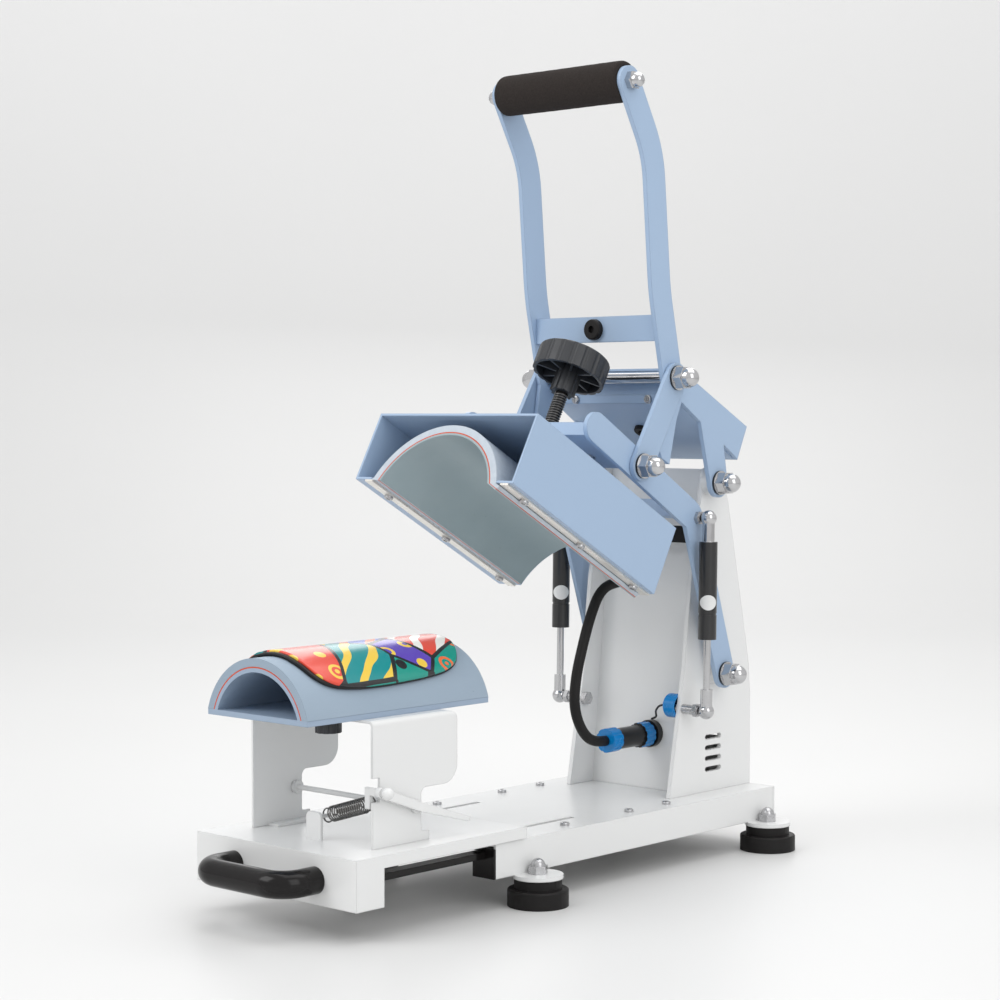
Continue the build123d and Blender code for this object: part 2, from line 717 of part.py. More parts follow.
def gas_spring_tubes():
    length = gas_length()
    tube = rod_z(0, 0, GAS_TUBE, GAS_TUBE_START, GAS_TUBE_END)
    groove = GAS_TUBE_START + GAS_GROOVE
    ring = rod_z(0, 0, GAS_TUBE + 2, groove, groove + 1.6) - rod_z(0, 0, GAS_TUBE - 1.0, 0, BIG)
    tube -= ring
    bore = GAS_TUBE - 2 * GAS_TUBE_WALL
    tube -= rod_z(0, 0, bore, GAS_TUBE_START + GAS_TUBE_CAP, GAS_TUBE_END - GAS_TUBE_CAP)
    tube -= rod_z(0, 0, GAS_ROD + 2 * GAS_ROD_FIT, GAS_TUBE_START - 1, GAS_TUBE_START + GAS_TUBE_CAP + 1)
    tube += rod_z(0, 0, GAS_NECK, GAS_TUBE_END, length) + Pos(0, 0, length) * Sphere(GAS_BALL / 2)
    return both_sides(gas_axis_placed(tube))


def arm_plates():
    face = bar_face([ARM_FRONT, ARM_ELBOW, ARM_PIVOT], [ARM_ELBOW_RADIUS])
    plate = from_side(face, PLATE_IN, PLATE_OUT)
    plate -= rod_x(*ARM_PIVOT, PIVOT_DIAMETER + 2 * PIVOT_FIT, 0, BIG)
    plate -= rod_x(*LINK_PIVOT, PIVOT_DIAMETER + 2 * THREAD_GAP, 0, BIG)
    plate -= rod_x(*GAS_UPPER, STUD_THREAD + 2 * THREAD_GAP, 0, BIG)
    return both_sides(plate)


def arm_cross_plate():
    """Plate between the arms with its front lip and screw nut, and the tie at the elbow."""
    top = CROSS_PLATE_Z + CROSS_PLATE_SHEET
    plate = block(-PLATE_IN, PLATE_IN, CROSS_PLATE_FRONT, CROSS_PLATE_REAR, CROSS_PLATE_Z, top)
    lip_rear = CROSS_PLATE_FRONT + CROSS_LIP_SHEET
    plate += block(-PLATE_IN, PLATE_IN, CROSS_PLATE_FRONT, lip_rear, CROSS_PLATE_Z, CROSS_LIP_TOP)
    nut_diameter, nut_height = SCREW_NUT
    nut_front = SCREW_Y - nut_diameter / 2
    nut = rod_z(0, SCREW_Y, nut_diameter, top, top + nut_height)
    nut -= block(-BIG, BIG, nut_front - 5, lip_rear, top, top + nut_height + 1)
    plate += nut
    plate -= rod_z(0, SCREW_Y, SCREW_DIAMETER + 2 * PIVOT_FIT, 0, BIG)
    for x in (-GUIDE_X, GUIDE_X):
        plate -= rod_z(x, SCREW_Y + GUIDE_OFFSET, GUIDE_DIAMETER + 2 * PIVOT_FIT, 0, BIG)
    tie = block(-PLATE_IN, PLATE_IN, *TIE)
    return [opened(plate), opened(tie)]


def link_start():
    """Inner face of the links."""
    return PLATE_OUT + LINK_GAP


def link_pivots():
    y, z = LINK_PIVOT
    stack_end = link_start() + LINK_SHEET + FACE_GAP
    nut_start = stack_end + WASHER[1]
    stud = rod_x(y, z, PIVOT_DIAMETER, PLATE_IN, nut_start + NUT_HEIGHT / 2 - 0.2)
    ring = washer(y, z, stack_end, PIVOT_DIAMETER + 2 * THREAD_GAP)
    return both_sides(stud, ring, dome_nut(y, z, nut_start, PIVOT_DIAMETER))


def link_bars():
    x0 = link_start()
    bar = from_side(bar_face([LINK_PIVOT, KNEE_PIVOT], []), x0, x0 + LINK_SHEET)
    bar -= rod_x(*LINK_PIVOT, PIVOT_DIAMETER + 2 * PIVOT_FIT, 0, BIG)
    bar -= rod_x(*KNEE_PIVOT, KNEE_ROD + 2 * THREAD_GAP, 0, BIG)
    return both_sides(bar)


def knee_nuts():
    """Outer end of the knee, carried by the links: stud, washer and dome nut."""
    y, z = KNEE_PIVOT
    nut_start = link_start() + LINK_SHEET + WASHER[1]
    stud = rod_x(y, z, KNEE_ROD, link_start(), nut_start + NUT_HEIGHT / 2 - 0.2)
    ring = washer(y, z, link_start() + LINK_SHEET, KNEE_ROD + 2 * THREAD_GAP)
    return both_sides(stud, ring, dome_nut(y, z, nut_start, KNEE_ROD))


def lever_cheek():
    """Side cheek of the lever with its leg to the column and its short front leg."""
    ky, kz = KNEE_PIVOT
    ly, lz = LEVER_PIVOT
    cheek = outline([
        (ky + 3, kz + 11), (CASE_TOP_REAR[0], CASE_TOP_REAR[1]), CASE_LOW_REAR, (224.6, 330.4),
        (209.8, 339.4), (213.7, 316.0), (ly + 11, lz - 4), (ly - 11, lz - 4), (178.2, 358.5),
        (152.6, 374.5), (145.7, 359.3), (137.0, 324.5), (127.2, 329.5), (121.8, 340.4), (ky - 11, kz - 4),
    ])
    return cheek + Pos(ly, lz) * Circle(BAR_WIDTH / 2) + Pos(ky, kz) * Circle(BAR_WIDTH / 2)


def lever_plates():
    face = bar_face([GRIP_AXIS, *LEVER_BENDS, KNEE_PIVOT], list(LEVER_BEND_RADII)) + lever_cheek()
    plate = from_side(face, PLATE_IN, PLATE_OUT)
    plate -= rod_x(*LEVER_PIVOT, PIVOT_DIAMETER + 2 * PIVOT_FIT, 0, BIG)
    plate -= rod_x(*KNEE_PIVOT, KNEE_ROD + 2 * THREAD_GAP, 0, BIG)
    plate -= rod_x(*GRIP_AXIS, GRIP_THREAD + 2 * THREAD_GAP, 0, BIG)
    return both_sides(plate)


def grip_rod():
    """Rod through the grip, with a threaded end and a dome nut on each side."""
    y, z = GRIP_AXIS
    nut_height = 13.0
    reach = PLATE_OUT + nut_height / 2 - 0.2
    rod = rod_x(y, z, GRIP_ROD, -PLATE_IN, PLATE_IN) + rod_x(y, z, GRIP_THREAD, -reach, reach)
    nut = dome_nut(y, z, PLATE_OUT, GRIP_THREAD, flats=13.0, height=nut_height, hex_height=5.5)
    return [rod] + both_sides(nut)


def foam_grip():
    y, z = GRIP_AXIS
    half = PLATE_IN - 0.2
    foam = rod_x(y, z, GRIP_DIAMETER, -half, half)
    foam = fillet(foam.edges().filter_by(GeomType.CIRCLE), 2.0)
    return [foam - rod_x(y, z, GRIP_BORE, -BIG, BIG)]


def bumper_height():
    """Height of the rest bumper on the brace."""
    return (BRACE[2] + BRACE[3]) / 2


def handle_brace():
    y0, y1, z0, z1 = BRACE
    bar = block(-PLATE_IN, PLATE_IN, y0, y1, z0, z1)
    return [bar - rod_y(0, bumper_height(), BUMPER_STEM + 2 * THREAD_GAP, 0, BIG)]


def rest_bumper():
    z = bumper_height()
    nose = rod_y(0, z, BUMPER_DIAMETER, BRACE[0] - BUMPER_LENGTH, BRACE[0])
    nose = fillet(nose.edges().group_by(Axis.Y)[0], 1.5)
    nose -= rod_y(0, z, BUMPER_BORE, BRACE[0] - BUMPER_LENGTH - 1, BRACE[0] - BUMPER_LENGTH + 3)
    stem = rod_y(0, z, BUMPER_STEM, BRACE[0], BRACE[1])
    flange = rod_y(0, z, 10.0, BRACE[1], BRACE[1] + 2)
    return [nose + stem + flange]


def knee_rod():
    return [rod_x(*KNEE_PIVOT, KNEE_ROD, -PLATE_OUT, PLATE_OUT)]


def panel_plane():
    """Plane of the control panel: local x is X, local y runs down to the rear, z is outward."""
    (y0, z0), (y1, z1) = CASE_TOP_FRONT, CASE_TOP_REAR
    run = math.dist(CASE_TOP_FRONT, CASE_TOP_REAR)
    normal = (0, -(z1 - z0) / run, (y1 - y0) / run)
    return Plane(origin=(0, y0, z0), x_dir=(1, 0, 0), z_dir=normal)


def on_panel(solid):
    """Place a piece that is built in the frame of the control panel."""
    return panel_plane().location * solid


def case_outline():
    lip_bottom = CASE_LOW_FRONT[1]
    lip_foot = (CASE_TOP_FRONT[0], lip_bottom)
    return outline([CASE_TOP_FRONT, lip_foot, CASE_LOW_FRONT, CASE_LOW_REAR, CASE_TOP_REAR])


def underside_plane():
    """Plane of the underside of the case at the grommet, z outward."""
    (y0, z0), (y1, z1) = CASE_LOW_FRONT, CASE_LOW_REAR
    share = (GROMMET_Y - y0) / (y1 - y0)
    run = math.dist(CASE_LOW_FRONT, CASE_LOW_REAR)
    normal = (0, (z1 - z0) / run, -(y1 - y0) / run)
    return Plane(origin=(0, GROMMET_Y, z0 + share * (z1 - z0)), x_dir=(1, 0, 0), z_dir=normal)


def controller_case():
    run = math.dist(CASE_TOP_FRONT, CASE_TOP_REAR)
    case = from_side(case_outline(), -CASE_HALF, CASE_HALF)
    z0, z1, proud = CASE_LIP
    case += block(-CASE_HALF, CASE_HALF, CASE_TOP_FRONT[0] - proud, CASE_TOP_FRONT[0], z0, z1)
    inner = offset(case_outline(), amount=-CASE_SHEET, kind=Kind.INTERSECTION)
    case -= from_side(inner, -CASE_HALF + CASE_SHEET, CASE_HALF - CASE_SHEET)
    case -= on_panel(block(-BIG, BIG, -10, run + 10, -PANEL_SHEET, 20))
    case -= underside_plane().location * Cylinder(GROMMET[1] / 2, 20)
    for x in (-CASE_SCREW_X, CASE_SCREW_X):
        case -= rod_y(x, CASE_SCREW_Z, SCREW_HOLE, CASE_TOP_FRONT[0] - 5, CASE_TOP_FRONT[0] + 4)
    return [case]


def controller_panel():
    run = math.dist(CASE_TOP_FRONT, CASE_TOP_REAR)
    width, height, middle = DISPLAY
    panel = block(-CASE_HALF, CASE_HALF, 0, run, -PANEL_SHEET, 0)
    gap = FACE_GAP
    panel -= block(
        -width / 2 - gap, width / 2 + gap, middle - height / 2 - gap, middle + height / 2 + gap, -5, 5,
    )
    for x in BUTTON_XS:
        panel -= rod_z(x, BUTTON_U, BUTTON_DIAMETER + 2 * BUTTON_FIT, -5, 5)
    for x, u in panel_screw_places():
        panel -= rod_z(x, u, SCREW_HOLE, -5, 5)
    return [on_panel(panel)]


def panel_screw_places():
    """Corner screws of the panel, in its own frame."""
    run = math.dist(CASE_TOP_FRONT, CASE_TOP_REAR)
    inset = 7.0
    return [(x, u) for x in (inset - CASE_HALF, CASE_HALF - inset) for u in (inset, run - inset)]


def controller_screws():
    screws = []
    front = CASE_TOP_FRONT[0] - CASE_LIP[2]
    for x in (-CASE_SCREW_X, CASE_SCREW_X):
        screws.append(Pos(x, front, CASE_SCREW_Z) * Rot(90, 0, 0) * pan_screw())
    for x, u in panel_screw_places():
        screws.append(on_panel(Pos(x, u, 0) * pan_screw()))
    return screws


def panel_grommet():
    outer, groove, width = GROMMET
    ring = Cylinder(outer / 2, width)
    slot = Cylinder(outer, CASE_SHEET) - Cylinder(groove / 2 - THREAD_GAP, CASE_SHEET + 1)
    ring -= Pos(0, 0, -CASE_SHEET / 2) * slot
    ring -= Cylinder(groove / 2 - 2.0, width + 1)
    ring = fillet(ring.edges().group_by(Axis.Z)[-1], 1.0)
    return [underside_plane().location * ring]


def display_lens():
    width, height, middle = DISPLAY
    lens = block(-width / 2, width / 2, middle - height / 2, middle + height / 2, -PANEL_SHEET, 0.4)
    return [on_panel(lens)]


def circuit_board():
    """Board on four posts under the panel, with the display module and a switch under each button."""
    half, u0, u1, sheet = BOARD
    board = block(-half, half, u0, u1, -BOARD_DEPTH - sheet, -BOARD_DEPTH)
    for x in (BOARD_POST - half, half - BOARD_POST):
        for u in (u0 + BOARD_POST, u1 - BOARD_POST):
            board += rod_z(x, u, BOARD_POST, -BOARD_DEPTH, -PANEL_SHEET)
    width, height, middle = DISPLAY
    board += block(
        2 - width / 2, width / 2 - 2, middle - height / 2 + 2, middle + height / 2 - 2,
        -BOARD_DEPTH, -PANEL_SHEET,
    )
    for x in BUTTON_XS:
        board += block(x - 3, x + 3, BUTTON_U - 3, BUTTON_U + 3, -BOARD_DEPTH, TACT_HEIGHT - BOARD_DEPTH)
    return [on_panel(board)]


def panel_button(x):
    """A round push button with a rim that holds it under the panel."""
    button = rod_z(x, BUTTON_U, BUTTON_DIAMETER, -BUTTON_STEM, BUTTON_PROUD)
    button = fillet(button.edges().group_by(Axis.Z)[-1], 0.8)
    button += rod_z(x, BUTTON_U, BUTTON_DIAMETER + 2.4, -BUTTON_STEM + 1.4, -PANEL_SHEET - 0.3)
    return [on_panel(button)]


def arch_face(r_in, r_out, z_low):
    """Half ring round the platen axis, cut off level at z_low."""
    ring = Pos(0, ARCH_Z) * (Circle(r_out) - Circle(r_in))
    return ring - Pos(0, z_low - BIG / 2) * Rectangle(BIG, BIG)


def rear_opening_radius():
    """Inner radius of the rear wall of the box, which covers the seal and the backing."""
    return PLATE_INNER_RADIUS + PLATE_SHEET


def element_layer(r_in, r_out):
    """A layer of the element: its arch, and the right edge that flares out below the box."""
    base = BOX_BOTTOM - ARCH_Z
    corners = []
    for radius in (r_in, r_out):
        corners.append((math.sqrt(radius ** 2 - base ** 2), BOX_BOTTOM))
    whole = BACKING_OUTER_RADIUS - PLATE_INNER_RADIUS
    root = math.sqrt(PLATE_INNER_RADIUS ** 2 - base ** 2) + FLARE_OUT
    for radius in (r_out, r_in):
        share = (radius - PLATE_INNER_RADIUS) / whole
        corners.append((root + share * FLARE_END[0], BOX_BOTTOM - FLARE_DROP + share * FLARE_END[1]))
    return arch_face(r_in, r_out, BOX_BOTTOM) + outline(corners)


def platen_box():
    """Folded box of the upper platen, open in front and below, with the screw boss on top."""
    inner = BOX_HALF - BOX_SHEET
    box = block(-BOX_HALF, BOX_HALF, BOX_FRONT, BOX_REAR, BOX_TOP - BOX_SHEET, BOX_TOP)
    box += block(-BOX_HALF, BOX_HALF, BOX_REAR - BOX_SHEET, BOX_REAR, BOX_BOTTOM, BOX_TOP)
    box -= from_front(Pos(0, ARCH_Z) * Circle(rear_opening_radius()), 0, BIG)
    side = block(inner, BOX_HALF, BOX_FRONT, BOX_REAR, BOX_BOTTOM, BOX_TOP)
    lip_top = BOX_BOTTOM + BOX_SHEET
    side += block(BOX_LIP_IN, BOX_HALF, BOX_FRONT, BOX_REAR, BOX_BOTTOM, lip_top)
    box += side + mirrored(side)
    for x in strip_middles():
        for y in strip_screw_ys():
            box -= rod_z(x, y, SCREW_HOLE, BOX_BOTTOM - 1, lip_top + 1)
    box += rod_z(0, SCREW_Y, BOSS_DIAMETER, BOX_TOP, BOX_TOP + BOSS_HEIGHT)
    box -= rod_z(0, SCREW_Y, SCREW_DIAMETER + 2 * PIVOT_FIT, BOX_TOP + SCREW_FLOOR - 0.2, BIG)
    gland_bore = CABLE_DIAMETER + 2 * THREAD_GAP
    box -= rod_y(GLAND_X, GLAND_Z, gland_bore, BOX_REAR - BOX_SHEET - 1, BOX_REAR + 1)
    return [opened(box)]


def strip_screw_ys():
    return [BOX_FRONT + run for run in STRIP_SCREWS]


def strip_middles():
    """Middle of the left strip, and of the right one, which stands further out."""
    middle = (STRIP_IN + STRIP_OUT) / 2
    return -middle, middle + STRIP_SHIFT


def element_length():
    """Front and rear of the layers inside the box."""
    return BOX_FRONT + ELEMENT_SETBACK, BOX_REAR - BOX_SHEET


def heating_plate():
    r_in = PLATE_INNER_RADIUS
    face = element_layer(r_in, r_in + PLATE_SHEET)
    return [opened(from_front(face, *element_length()))]


def platen_seal():
    r_in = PLATE_INNER_RADIUS + PLATE_SHEET
    face = element_layer(r_in, r_in + SEAL_SHEET)
    return [opened(from_front(face, *element_length()))]


def heater_backing():
    """Outer layer of the element, with a flange each side that reaches the lips of the box."""
    r_in = PLATE_INNER_RADIUS + PLATE_SHEET + SEAL_SHEET
    face = element_layer(r_in, BACKING_OUTER_RADIUS)
    foot_x = math.sqrt(BACKING_OUTER_RADIUS ** 2 - (BOX_BOTTOM - ARCH_Z) ** 2)
    flange_in = foot_x - 2.0
    for side in (-1, 1):
        middle = side * (flange_in + BOX_LIP_IN) / 2
        rise = BOX_BOTTOM + BOX_SHEET / 2
        face += Pos(middle, rise) * Rectangle(BOX_LIP_IN - flange_in, BOX_SHEET)
    return [opened(from_front(face, *element_length()))]


def clamp_strips():
    strips = []
    half = (STRIP_OUT - STRIP_IN) / 2
    for x in strip_middles():
        strip = block(x - half, x + half, BOX_FRONT, BOX_REAR, BOX_BOTTOM - STRIP_SHEET, BOX_BOTTOM)
        for y in strip_screw_ys():
            strip -= rod_z(x, y, SCREW_HOLE, 0, BIG)
        strips.append(opened(strip))
    return strips


def strip_screws():
    screws = []
    for x in strip_middles():
        for y in strip_screw_ys():
            screw = Pos(x, y, BOX_BOTTOM - STRIP_SHEET) * Rot(180, 0, 0) * pan_screw()
            screws.append(opened(screw))
    return screws


def guide_pins():
    pins = []
    for x in (-GUIDE_X, GUIDE_X):
        pin = rod_z(x, SCREW_Y + GUIDE_OFFSET, GUIDE_DIAMETER, BOX_TOP, BOX_TOP + GUIDE_LENGTH)
        pin = chamfer(pin.edges().group_by(Axis.Z)[-1], 0.8)
        pins.append(opened(pin))
    return pins


def cable_gland():
    """Strain relief on the rear wall of the box, with the cable passing through it."""
    neck = CABLE_DIAMETER + 3.0
    gland = rod_y(GLAND_X, GLAND_Z, GLAND_DIAMETER, BOX_REAR, BOX_REAR + 5)
    gland += rod_y(GLAND_X, GLAND_Z, neck, BOX_REAR + 5, BOX_REAR + GLAND_LENGTH)
    gland += rod_y(GLAND_X, GLAND_Z, CABLE_DIAMETER, BOX_REAR - BOX_SHEET - 3, BOX_REAR)
    return [opened(gland)]


def pressure_screw():
    screw = rod_z(0, SCREW_Y, SCREW_DIAMETER, BOX_TOP + SCREW_FLOOR, BOX_TOP + KNOB_TOP - 12)
    return [opened(screw)]


def pressure_knob():
    """Fluted knob, hollow from below, with spokes between its hub and rim."""
    rim_z0 = BOX_TOP + KNOB_RIM_BOTTOM
    rim_z1 = BOX_TOP + KNOB_TOP
    at = Pos(0, SCREW_Y, 0)
    rim = at * rod_z(0, 0, 2 * KNOB_RADIUS, rim_z0, rim_z1)
    rim = fillet(rim.edges().group_by(Axis.Z)[-1], 2.5)
    for i in range(KNOB_FLUTES):
        turn = 360 * (i + 0.5) / KNOB_FLUTES
        cutter = rod_z(KNOB_RADIUS + 2.0, 0, 2 * (2.0 + KNOB_FLUTE_DEPTH), rim_z0 - 1, rim_z1 + 1)
        rim -= at * Rot(0, 0, turn) * cutter
    hollow = rod_z(0, 0, 2 * (KNOB_RADIUS - KNOB_WALL), rim_z0 - 1, rim_z1 - KNOB_WALL)
    rim -= at * hollow
    hub = rod_z(0, 0, 2 * KNOB_HUB_RADIUS, BOX_TOP + KNOB_HUB_BOTTOM, rim_z1 - 1)
    for i in range(KNOB_SPOKES):
        half = KNOB_SPOKE_SHEET / 2
        spoke = block(0, KNOB_RADIUS - 1.5, -half, half, rim_z0 + 1.5, rim_z1 - 1)
        rib = block(0, KNOB_HUB_RADIUS + 1.5, -half, half, BOX_TOP + KNOB_HUB_BOTTOM, rim_z1 - 1)
        hub += Rot(0, 0, 360 * i / KNOB_SPOKES) * (spoke + rib)
    knob = rim + at * hub
    bore = rod_z(0, SCREW_Y, SCREW_DIAMETER + 2 * THREAD_GAP, 0, rim_z1 - 11.8)
    return [opened(knob - bore)]


def connector_socket():
    """Panel socket on the column web with its coupling ring and rear nut."""
    web = from_side(outline([
        (WEB_FOOT_Y, BASE_TOP), (WEB_FOOT_Y + WEB_SHEET, BASE_TOP),
        (WEB_HEAD_Y + WEB_SHEET, WEB_HEAD_Z), (WEB_HEAD_Y, WEB_HEAD_Z),
    ]), -COLUMN_HALF, COLUMN_HALF)
    front = web_front(SOCKET_Z)
    flange = rod_y(SOCKET_X, SOCKET_Z, SOCKET_FLANGE, front - 5.5, front + 1) - web
    flange -= block(-BIG, BIG, front + 0.5, BIG, 0, BIG)
    thread = rod_y(SOCKET_X, SOCKET_Z, SOCKET_THREAD, SOCKET_RING[2] - 1, front + 14)
    nut = Pos(SOCKET_X, front + 4.6, SOCKET_Z) * Rot(-90, 0, 0) * extrude(hexagon(20.0), amount=4.0)
    nut -= web
    diameter, ring_front, ring_rear = SOCKET_RING
    ring = rod_y(SOCKET_X, SOCKET_Z, diameter, ring_front, ring_rear)
    grip = from_front(Pos(SOCKET_X, SOCKET_Z) * fluted_face(diameter / 2, 12, 0.6), ring_front, ring_rear)
    return [flange + thread + nut + (ring & grip)]


def fluted_face(radius, count, depth):
    """A circle with shallow round flutes."""
    face = Circle(radius)
    for i in range(count):
        turn = 2 * math.pi * i / count
        reach = radius + 1.5
        face -= Pos(reach * math.cos(turn), reach * math.sin(turn)) * Circle(1.5 + depth)
    return face


def cable_plug():
    diameter, front, rear = PLUG_BARREL
    barrel = rod_y(SOCKET_X, SOCKET_Z, diameter, front, rear)
    nut_diameter, nut_front, nut_rear = PLUG_NUT
    nut = from_front(Pos(SOCKET_X, SOCKET_Z) * fluted_face(nut_diameter / 2, 10, 0.6), nut_front, nut_rear)
    return [barrel + nut]


def cable_points():
    """Route of the heater cable from the gland on the head to its plug."""
    start = opened_point(GLAND_X, BOX_REAR + GLAND_LENGTH + CABLE_GAP, GLAND_Z)
    lead = opened_point(GLAND_X, BOX_REAR + GLAND_LENGTH + CABLE_LEAD, GLAND_Z)
    end = (SOCKET_X, PLUG_NUT[1] - CABLE_GAP, SOCKET_Z)
    return [start, lead, *CABLE_ROUTE, (SOCKET_X, PLUG_NUT[1] - 15, SOCKET_Z), end]


def tube_radii(points):
    """Largest bend at each corner that its two runs allow."""
    radii = []
    for a, b, c in zip(points, points[1:], points[2:]):
        first = Vector(*b) - Vector(*a)
        second = Vector(*c) - Vector(*b)
        turn = math.radians(first.get_angle(second))
        radii.append(0.45 * min(first.length, second.length) / math.tan(turn / 2))
    return radii


def tube(points, diameter):
    """A round tube along straight runs joined by tangent arcs."""
    path = FilletPolyline(*points, radius=tube_radii(points))
    section = Plane(origin=path @ 0, z_dir=path % 0) * Circle(diameter / 2)
    return sweep(section, path=path), path


def heater_cable():
    points = cable_points()
    solid, path = tube(points, CABLE_DIAMETER)
    expected = math.pi * CABLE_DIAMETER ** 2 / 4 * path.length
    print("cable length", round(path.length, 1), "volume ratio", round(solid.volume / expected, 4))
    print("cable bend radii", [round(radius, 1) for radius in tube_radii(points)])
    return [solid]


def connector_cap():
    """Dust cap of the socket, parked over the inner nut of the right ball stud, on its strap."""
    y = GAS_LOWER[0] + CAP_OFFSET[0]
    z = GAS_LOWER[1] + CAP_OFFSET[1]
    inner = COLUMN_HALF - COLUMN_SHEET
    outer = inner - CAP_DEPTH
    cap = rod_x(y, z, CAP_DIAMETER, outer, inner)
    cap = fillet(cap.edges().filter_by(GeomType.CIRCLE).group_by(Axis.X)[0], 1.5)
    cap -= rod_x(y, z, CAP_BORE, outer + CAP_TOP, inner + 1)
    root_z = SOCKET_Z + SOCKET_FLANGE / 2 + STRAP_DIAMETER / 2 + 0.2
    root_y = web_front(SOCKET_Z) - 3.0
    strap_points = [
        (SOCKET_X + 2, root_y, root_z), (SOCKET_X + 9, root_y - 2.5, root_z + 2.5),
        (outer - 13, y - 2, z - 5.5), (outer - 6, y - 6, z - 0.5), (outer + 0.8, y - 6.5, z + 1),
    ]
    strap, _ = tube(strap_points, STRAP_DIAMETER)
    return [cap + strap]


def drawer_plate():
    """Folded drawer with its front wrapped round both sides, and the lug of the spring."""
    side_in = DRAWER_HALF - DRAWER_SHEET
    front_in = DRAWER_FRONT + DRAWER_SHEET
    under = DRAWER_TOP - DRAWER_SHEET
    plate = block(-DRAWER_HALF, DRAWER_HALF, DRAWER_FRONT, DRAWER_REAR, under, DRAWER_TOP)
    plate += block(-DRAWER_HALF, DRAWER_HALF, DRAWER_FRONT, front_in, DRAWER_FRONT_BOTTOM, DRAWER_TOP)
    side = block(side_in, DRAWER_HALF, DRAWER_FRONT, DRAWER_REAR, DRAWER_SIDE_BOTTOM, DRAWER_TOP)
    return_rear = DRAWER_FRONT + DRAWER_RETURN
    side += block(side_in, DRAWER_HALF, DRAWER_FRONT, return_rear, DRAWER_FRONT_BOTTOM, DRAWER_TOP)
    plate += side + mirrored(side)
    x0, x1, y0, y1 = LUG
    lug = Pos((x0 + x1) / 2, (DRAWER_TOP + LUG_TOP) / 2) * Rectangle(x1 - x0, LUG_TOP - DRAWER_TOP)
    lug = fillet(lug.vertices().group_by(Axis.Y)[-1], LUG_CORNER)
    plate += from_front(lug, y0, y1)
    pin_x, pin_z = LUG_PIN
    plate += rod_y(pin_x, pin_z, PIN_DIAMETER, y1, PIN_TIP_Y)
    return [plate]


def drawer_handle():
    front = DRAWER_FRONT - HANDLE_REACH
    x = HANDLE_ROOT_X
    points = [(-x, DRAWER_FRONT), (-x, front), (x, front), (x, DRAWER_FRONT)]
    path = Pos(0, 0, HANDLE_Z) * FilletPolyline(*points, radius=HANDLE_BEND)
    section = Plane(origin=path @ 0, z_dir=path % 0) * Circle(HANDLE_DIAMETER / 2)
    return [sweep(section, path=path)]


def outer_slide_rails():
    x0, x1, z0, z1 = RAIL_OUTER
    in_x0, in_x1, in_z0, in_z1 = RAIL_INNER
    rail = block(x0, x1, BASE_FRONT, RAIL_OUTER_REAR, z0, z1)
    rail += block(x0, BASE_HALF, BASE_FRONT - RAIL_CAP, BASE_FRONT, BASE_BOTTOM, z1)
    rail -= block(
        x0 - 1, in_x1 + RAIL_FIT, BASE_FRONT - RAIL_CAP - 1, RAIL_OUTER_REAR + 1,
        in_z0 - RAIL_FIT, in_z1 + RAIL_FIT,
    )
    return both_sides(rail)


def inner_slide_rails():
    x0, x1, z0, z1 = RAIL_INNER
    return both_sides(block(x0, x1, DRAWER_FRONT + DRAWER_SHEET, RAIL_INNER_REAR, z0, z1))


def stand_channel(half, top, bend):
    """Front view of the stand between its sides, with round upper corners."""
    face = Pos(0, (DRAWER_TOP + top) / 2) * Rectangle(2 * half, top - DRAWER_TOP)
    return fillet(face.vertices().group_by(Axis.Y)[-1], bend)


def platform_stand():
    """Folded stand: two legs joined by a top plate, each leg with a foot flange."""
    corners = [
        (STAND_TOP_REAR, STAND_TOP), (STAND_TOP_REAR, STAND_WAIST), (STAND_FOOT_REAR, STAND_WAIST),
        (STAND_FOOT_REAR, STAND_HEEL_TOP),
    ]
    leg = outline([
        (STAND_FRONT, DRAWER_TOP), (STAND_FRONT, STAND_TOP), *corners,
        (STAND_HEEL, STAND_HEEL_TOP), (STAND_HEEL, DRAWER_TOP),
    ])
    for (y, z), radius in zip(corners, STAND_CORNERS):
        leg = fillet(leg.vertices().sort_by_distance((y, z, 0))[0], radius)
    inner = STAND_HALF - STAND_SHEET
    channel = stand_channel(STAND_HALF, STAND_TOP, STAND_BEND)
    channel -= stand_channel(inner, STAND_TOP - STAND_SHEET, STAND_BEND - STAND_SHEET)
    stand = from_front(channel, STAND_FRONT, STAND_TOP_REAR) & from_side(leg, -STAND_HALF, STAND_HALF)
    slot_front, slot_rear, slot_low, slot_high = LOCK_SLOT
    stand -= block(0, BIG, slot_front, slot_rear, slot_low, slot_high)
    flange_top = DRAWER_TOP + STAND_SHEET
    flange = block(inner - STAND_FLANGE, STAND_HALF, -180.0, STAND_HEEL, DRAWER_TOP, flange_top)
    stand += flange + mirrored(flange)
    stand -= rod_x(*LOCK_PIVOT, LOCK_SHAFT + 2 * PIVOT_FIT, -BIG, BIG)
    stand -= rod_z(0, THUMB_KNOB_Y, THUMB_STUD + 2 * PIVOT_FIT, STAND_TOP - 5, BIG)
    return [stand]


def platform_arch():
    """Arched metal platen on its flat floor plate."""
    outer = PAD_OUTER_RADIUS - PAD_SHEET - LOWER_SEAL_SHEET
    face = arch_face(outer - PLATEN_ARCH_SHEET, outer, PLATEN_FLOOR_TOP)
    floor_sheet = PLATEN_FLOOR_TOP - STAND_TOP
    face += Pos(0, PLATEN_FLOOR_TOP - floor_sheet / 2) * Rectangle(2 * PLATEN_HALF, floor_sheet)
    arch = from_front(face, PLATEN_FRONT, PLATEN_REAR)
    return [arch - rod_z(0, THUMB_KNOB_Y, THUMB_STUD + 2 * PIVOT_FIT, 0, PLATEN_FLOOR_TOP - 0.8)]


def platform_seal():
    r_out = PAD_OUTER_RADIUS - PAD_SHEET
    face = arch_face(r_out - LOWER_SEAL_SHEET, r_out, PLATEN_FLOOR_TOP)
    return [from_front(face, PLATEN_FRONT, PLATEN_REAR)]


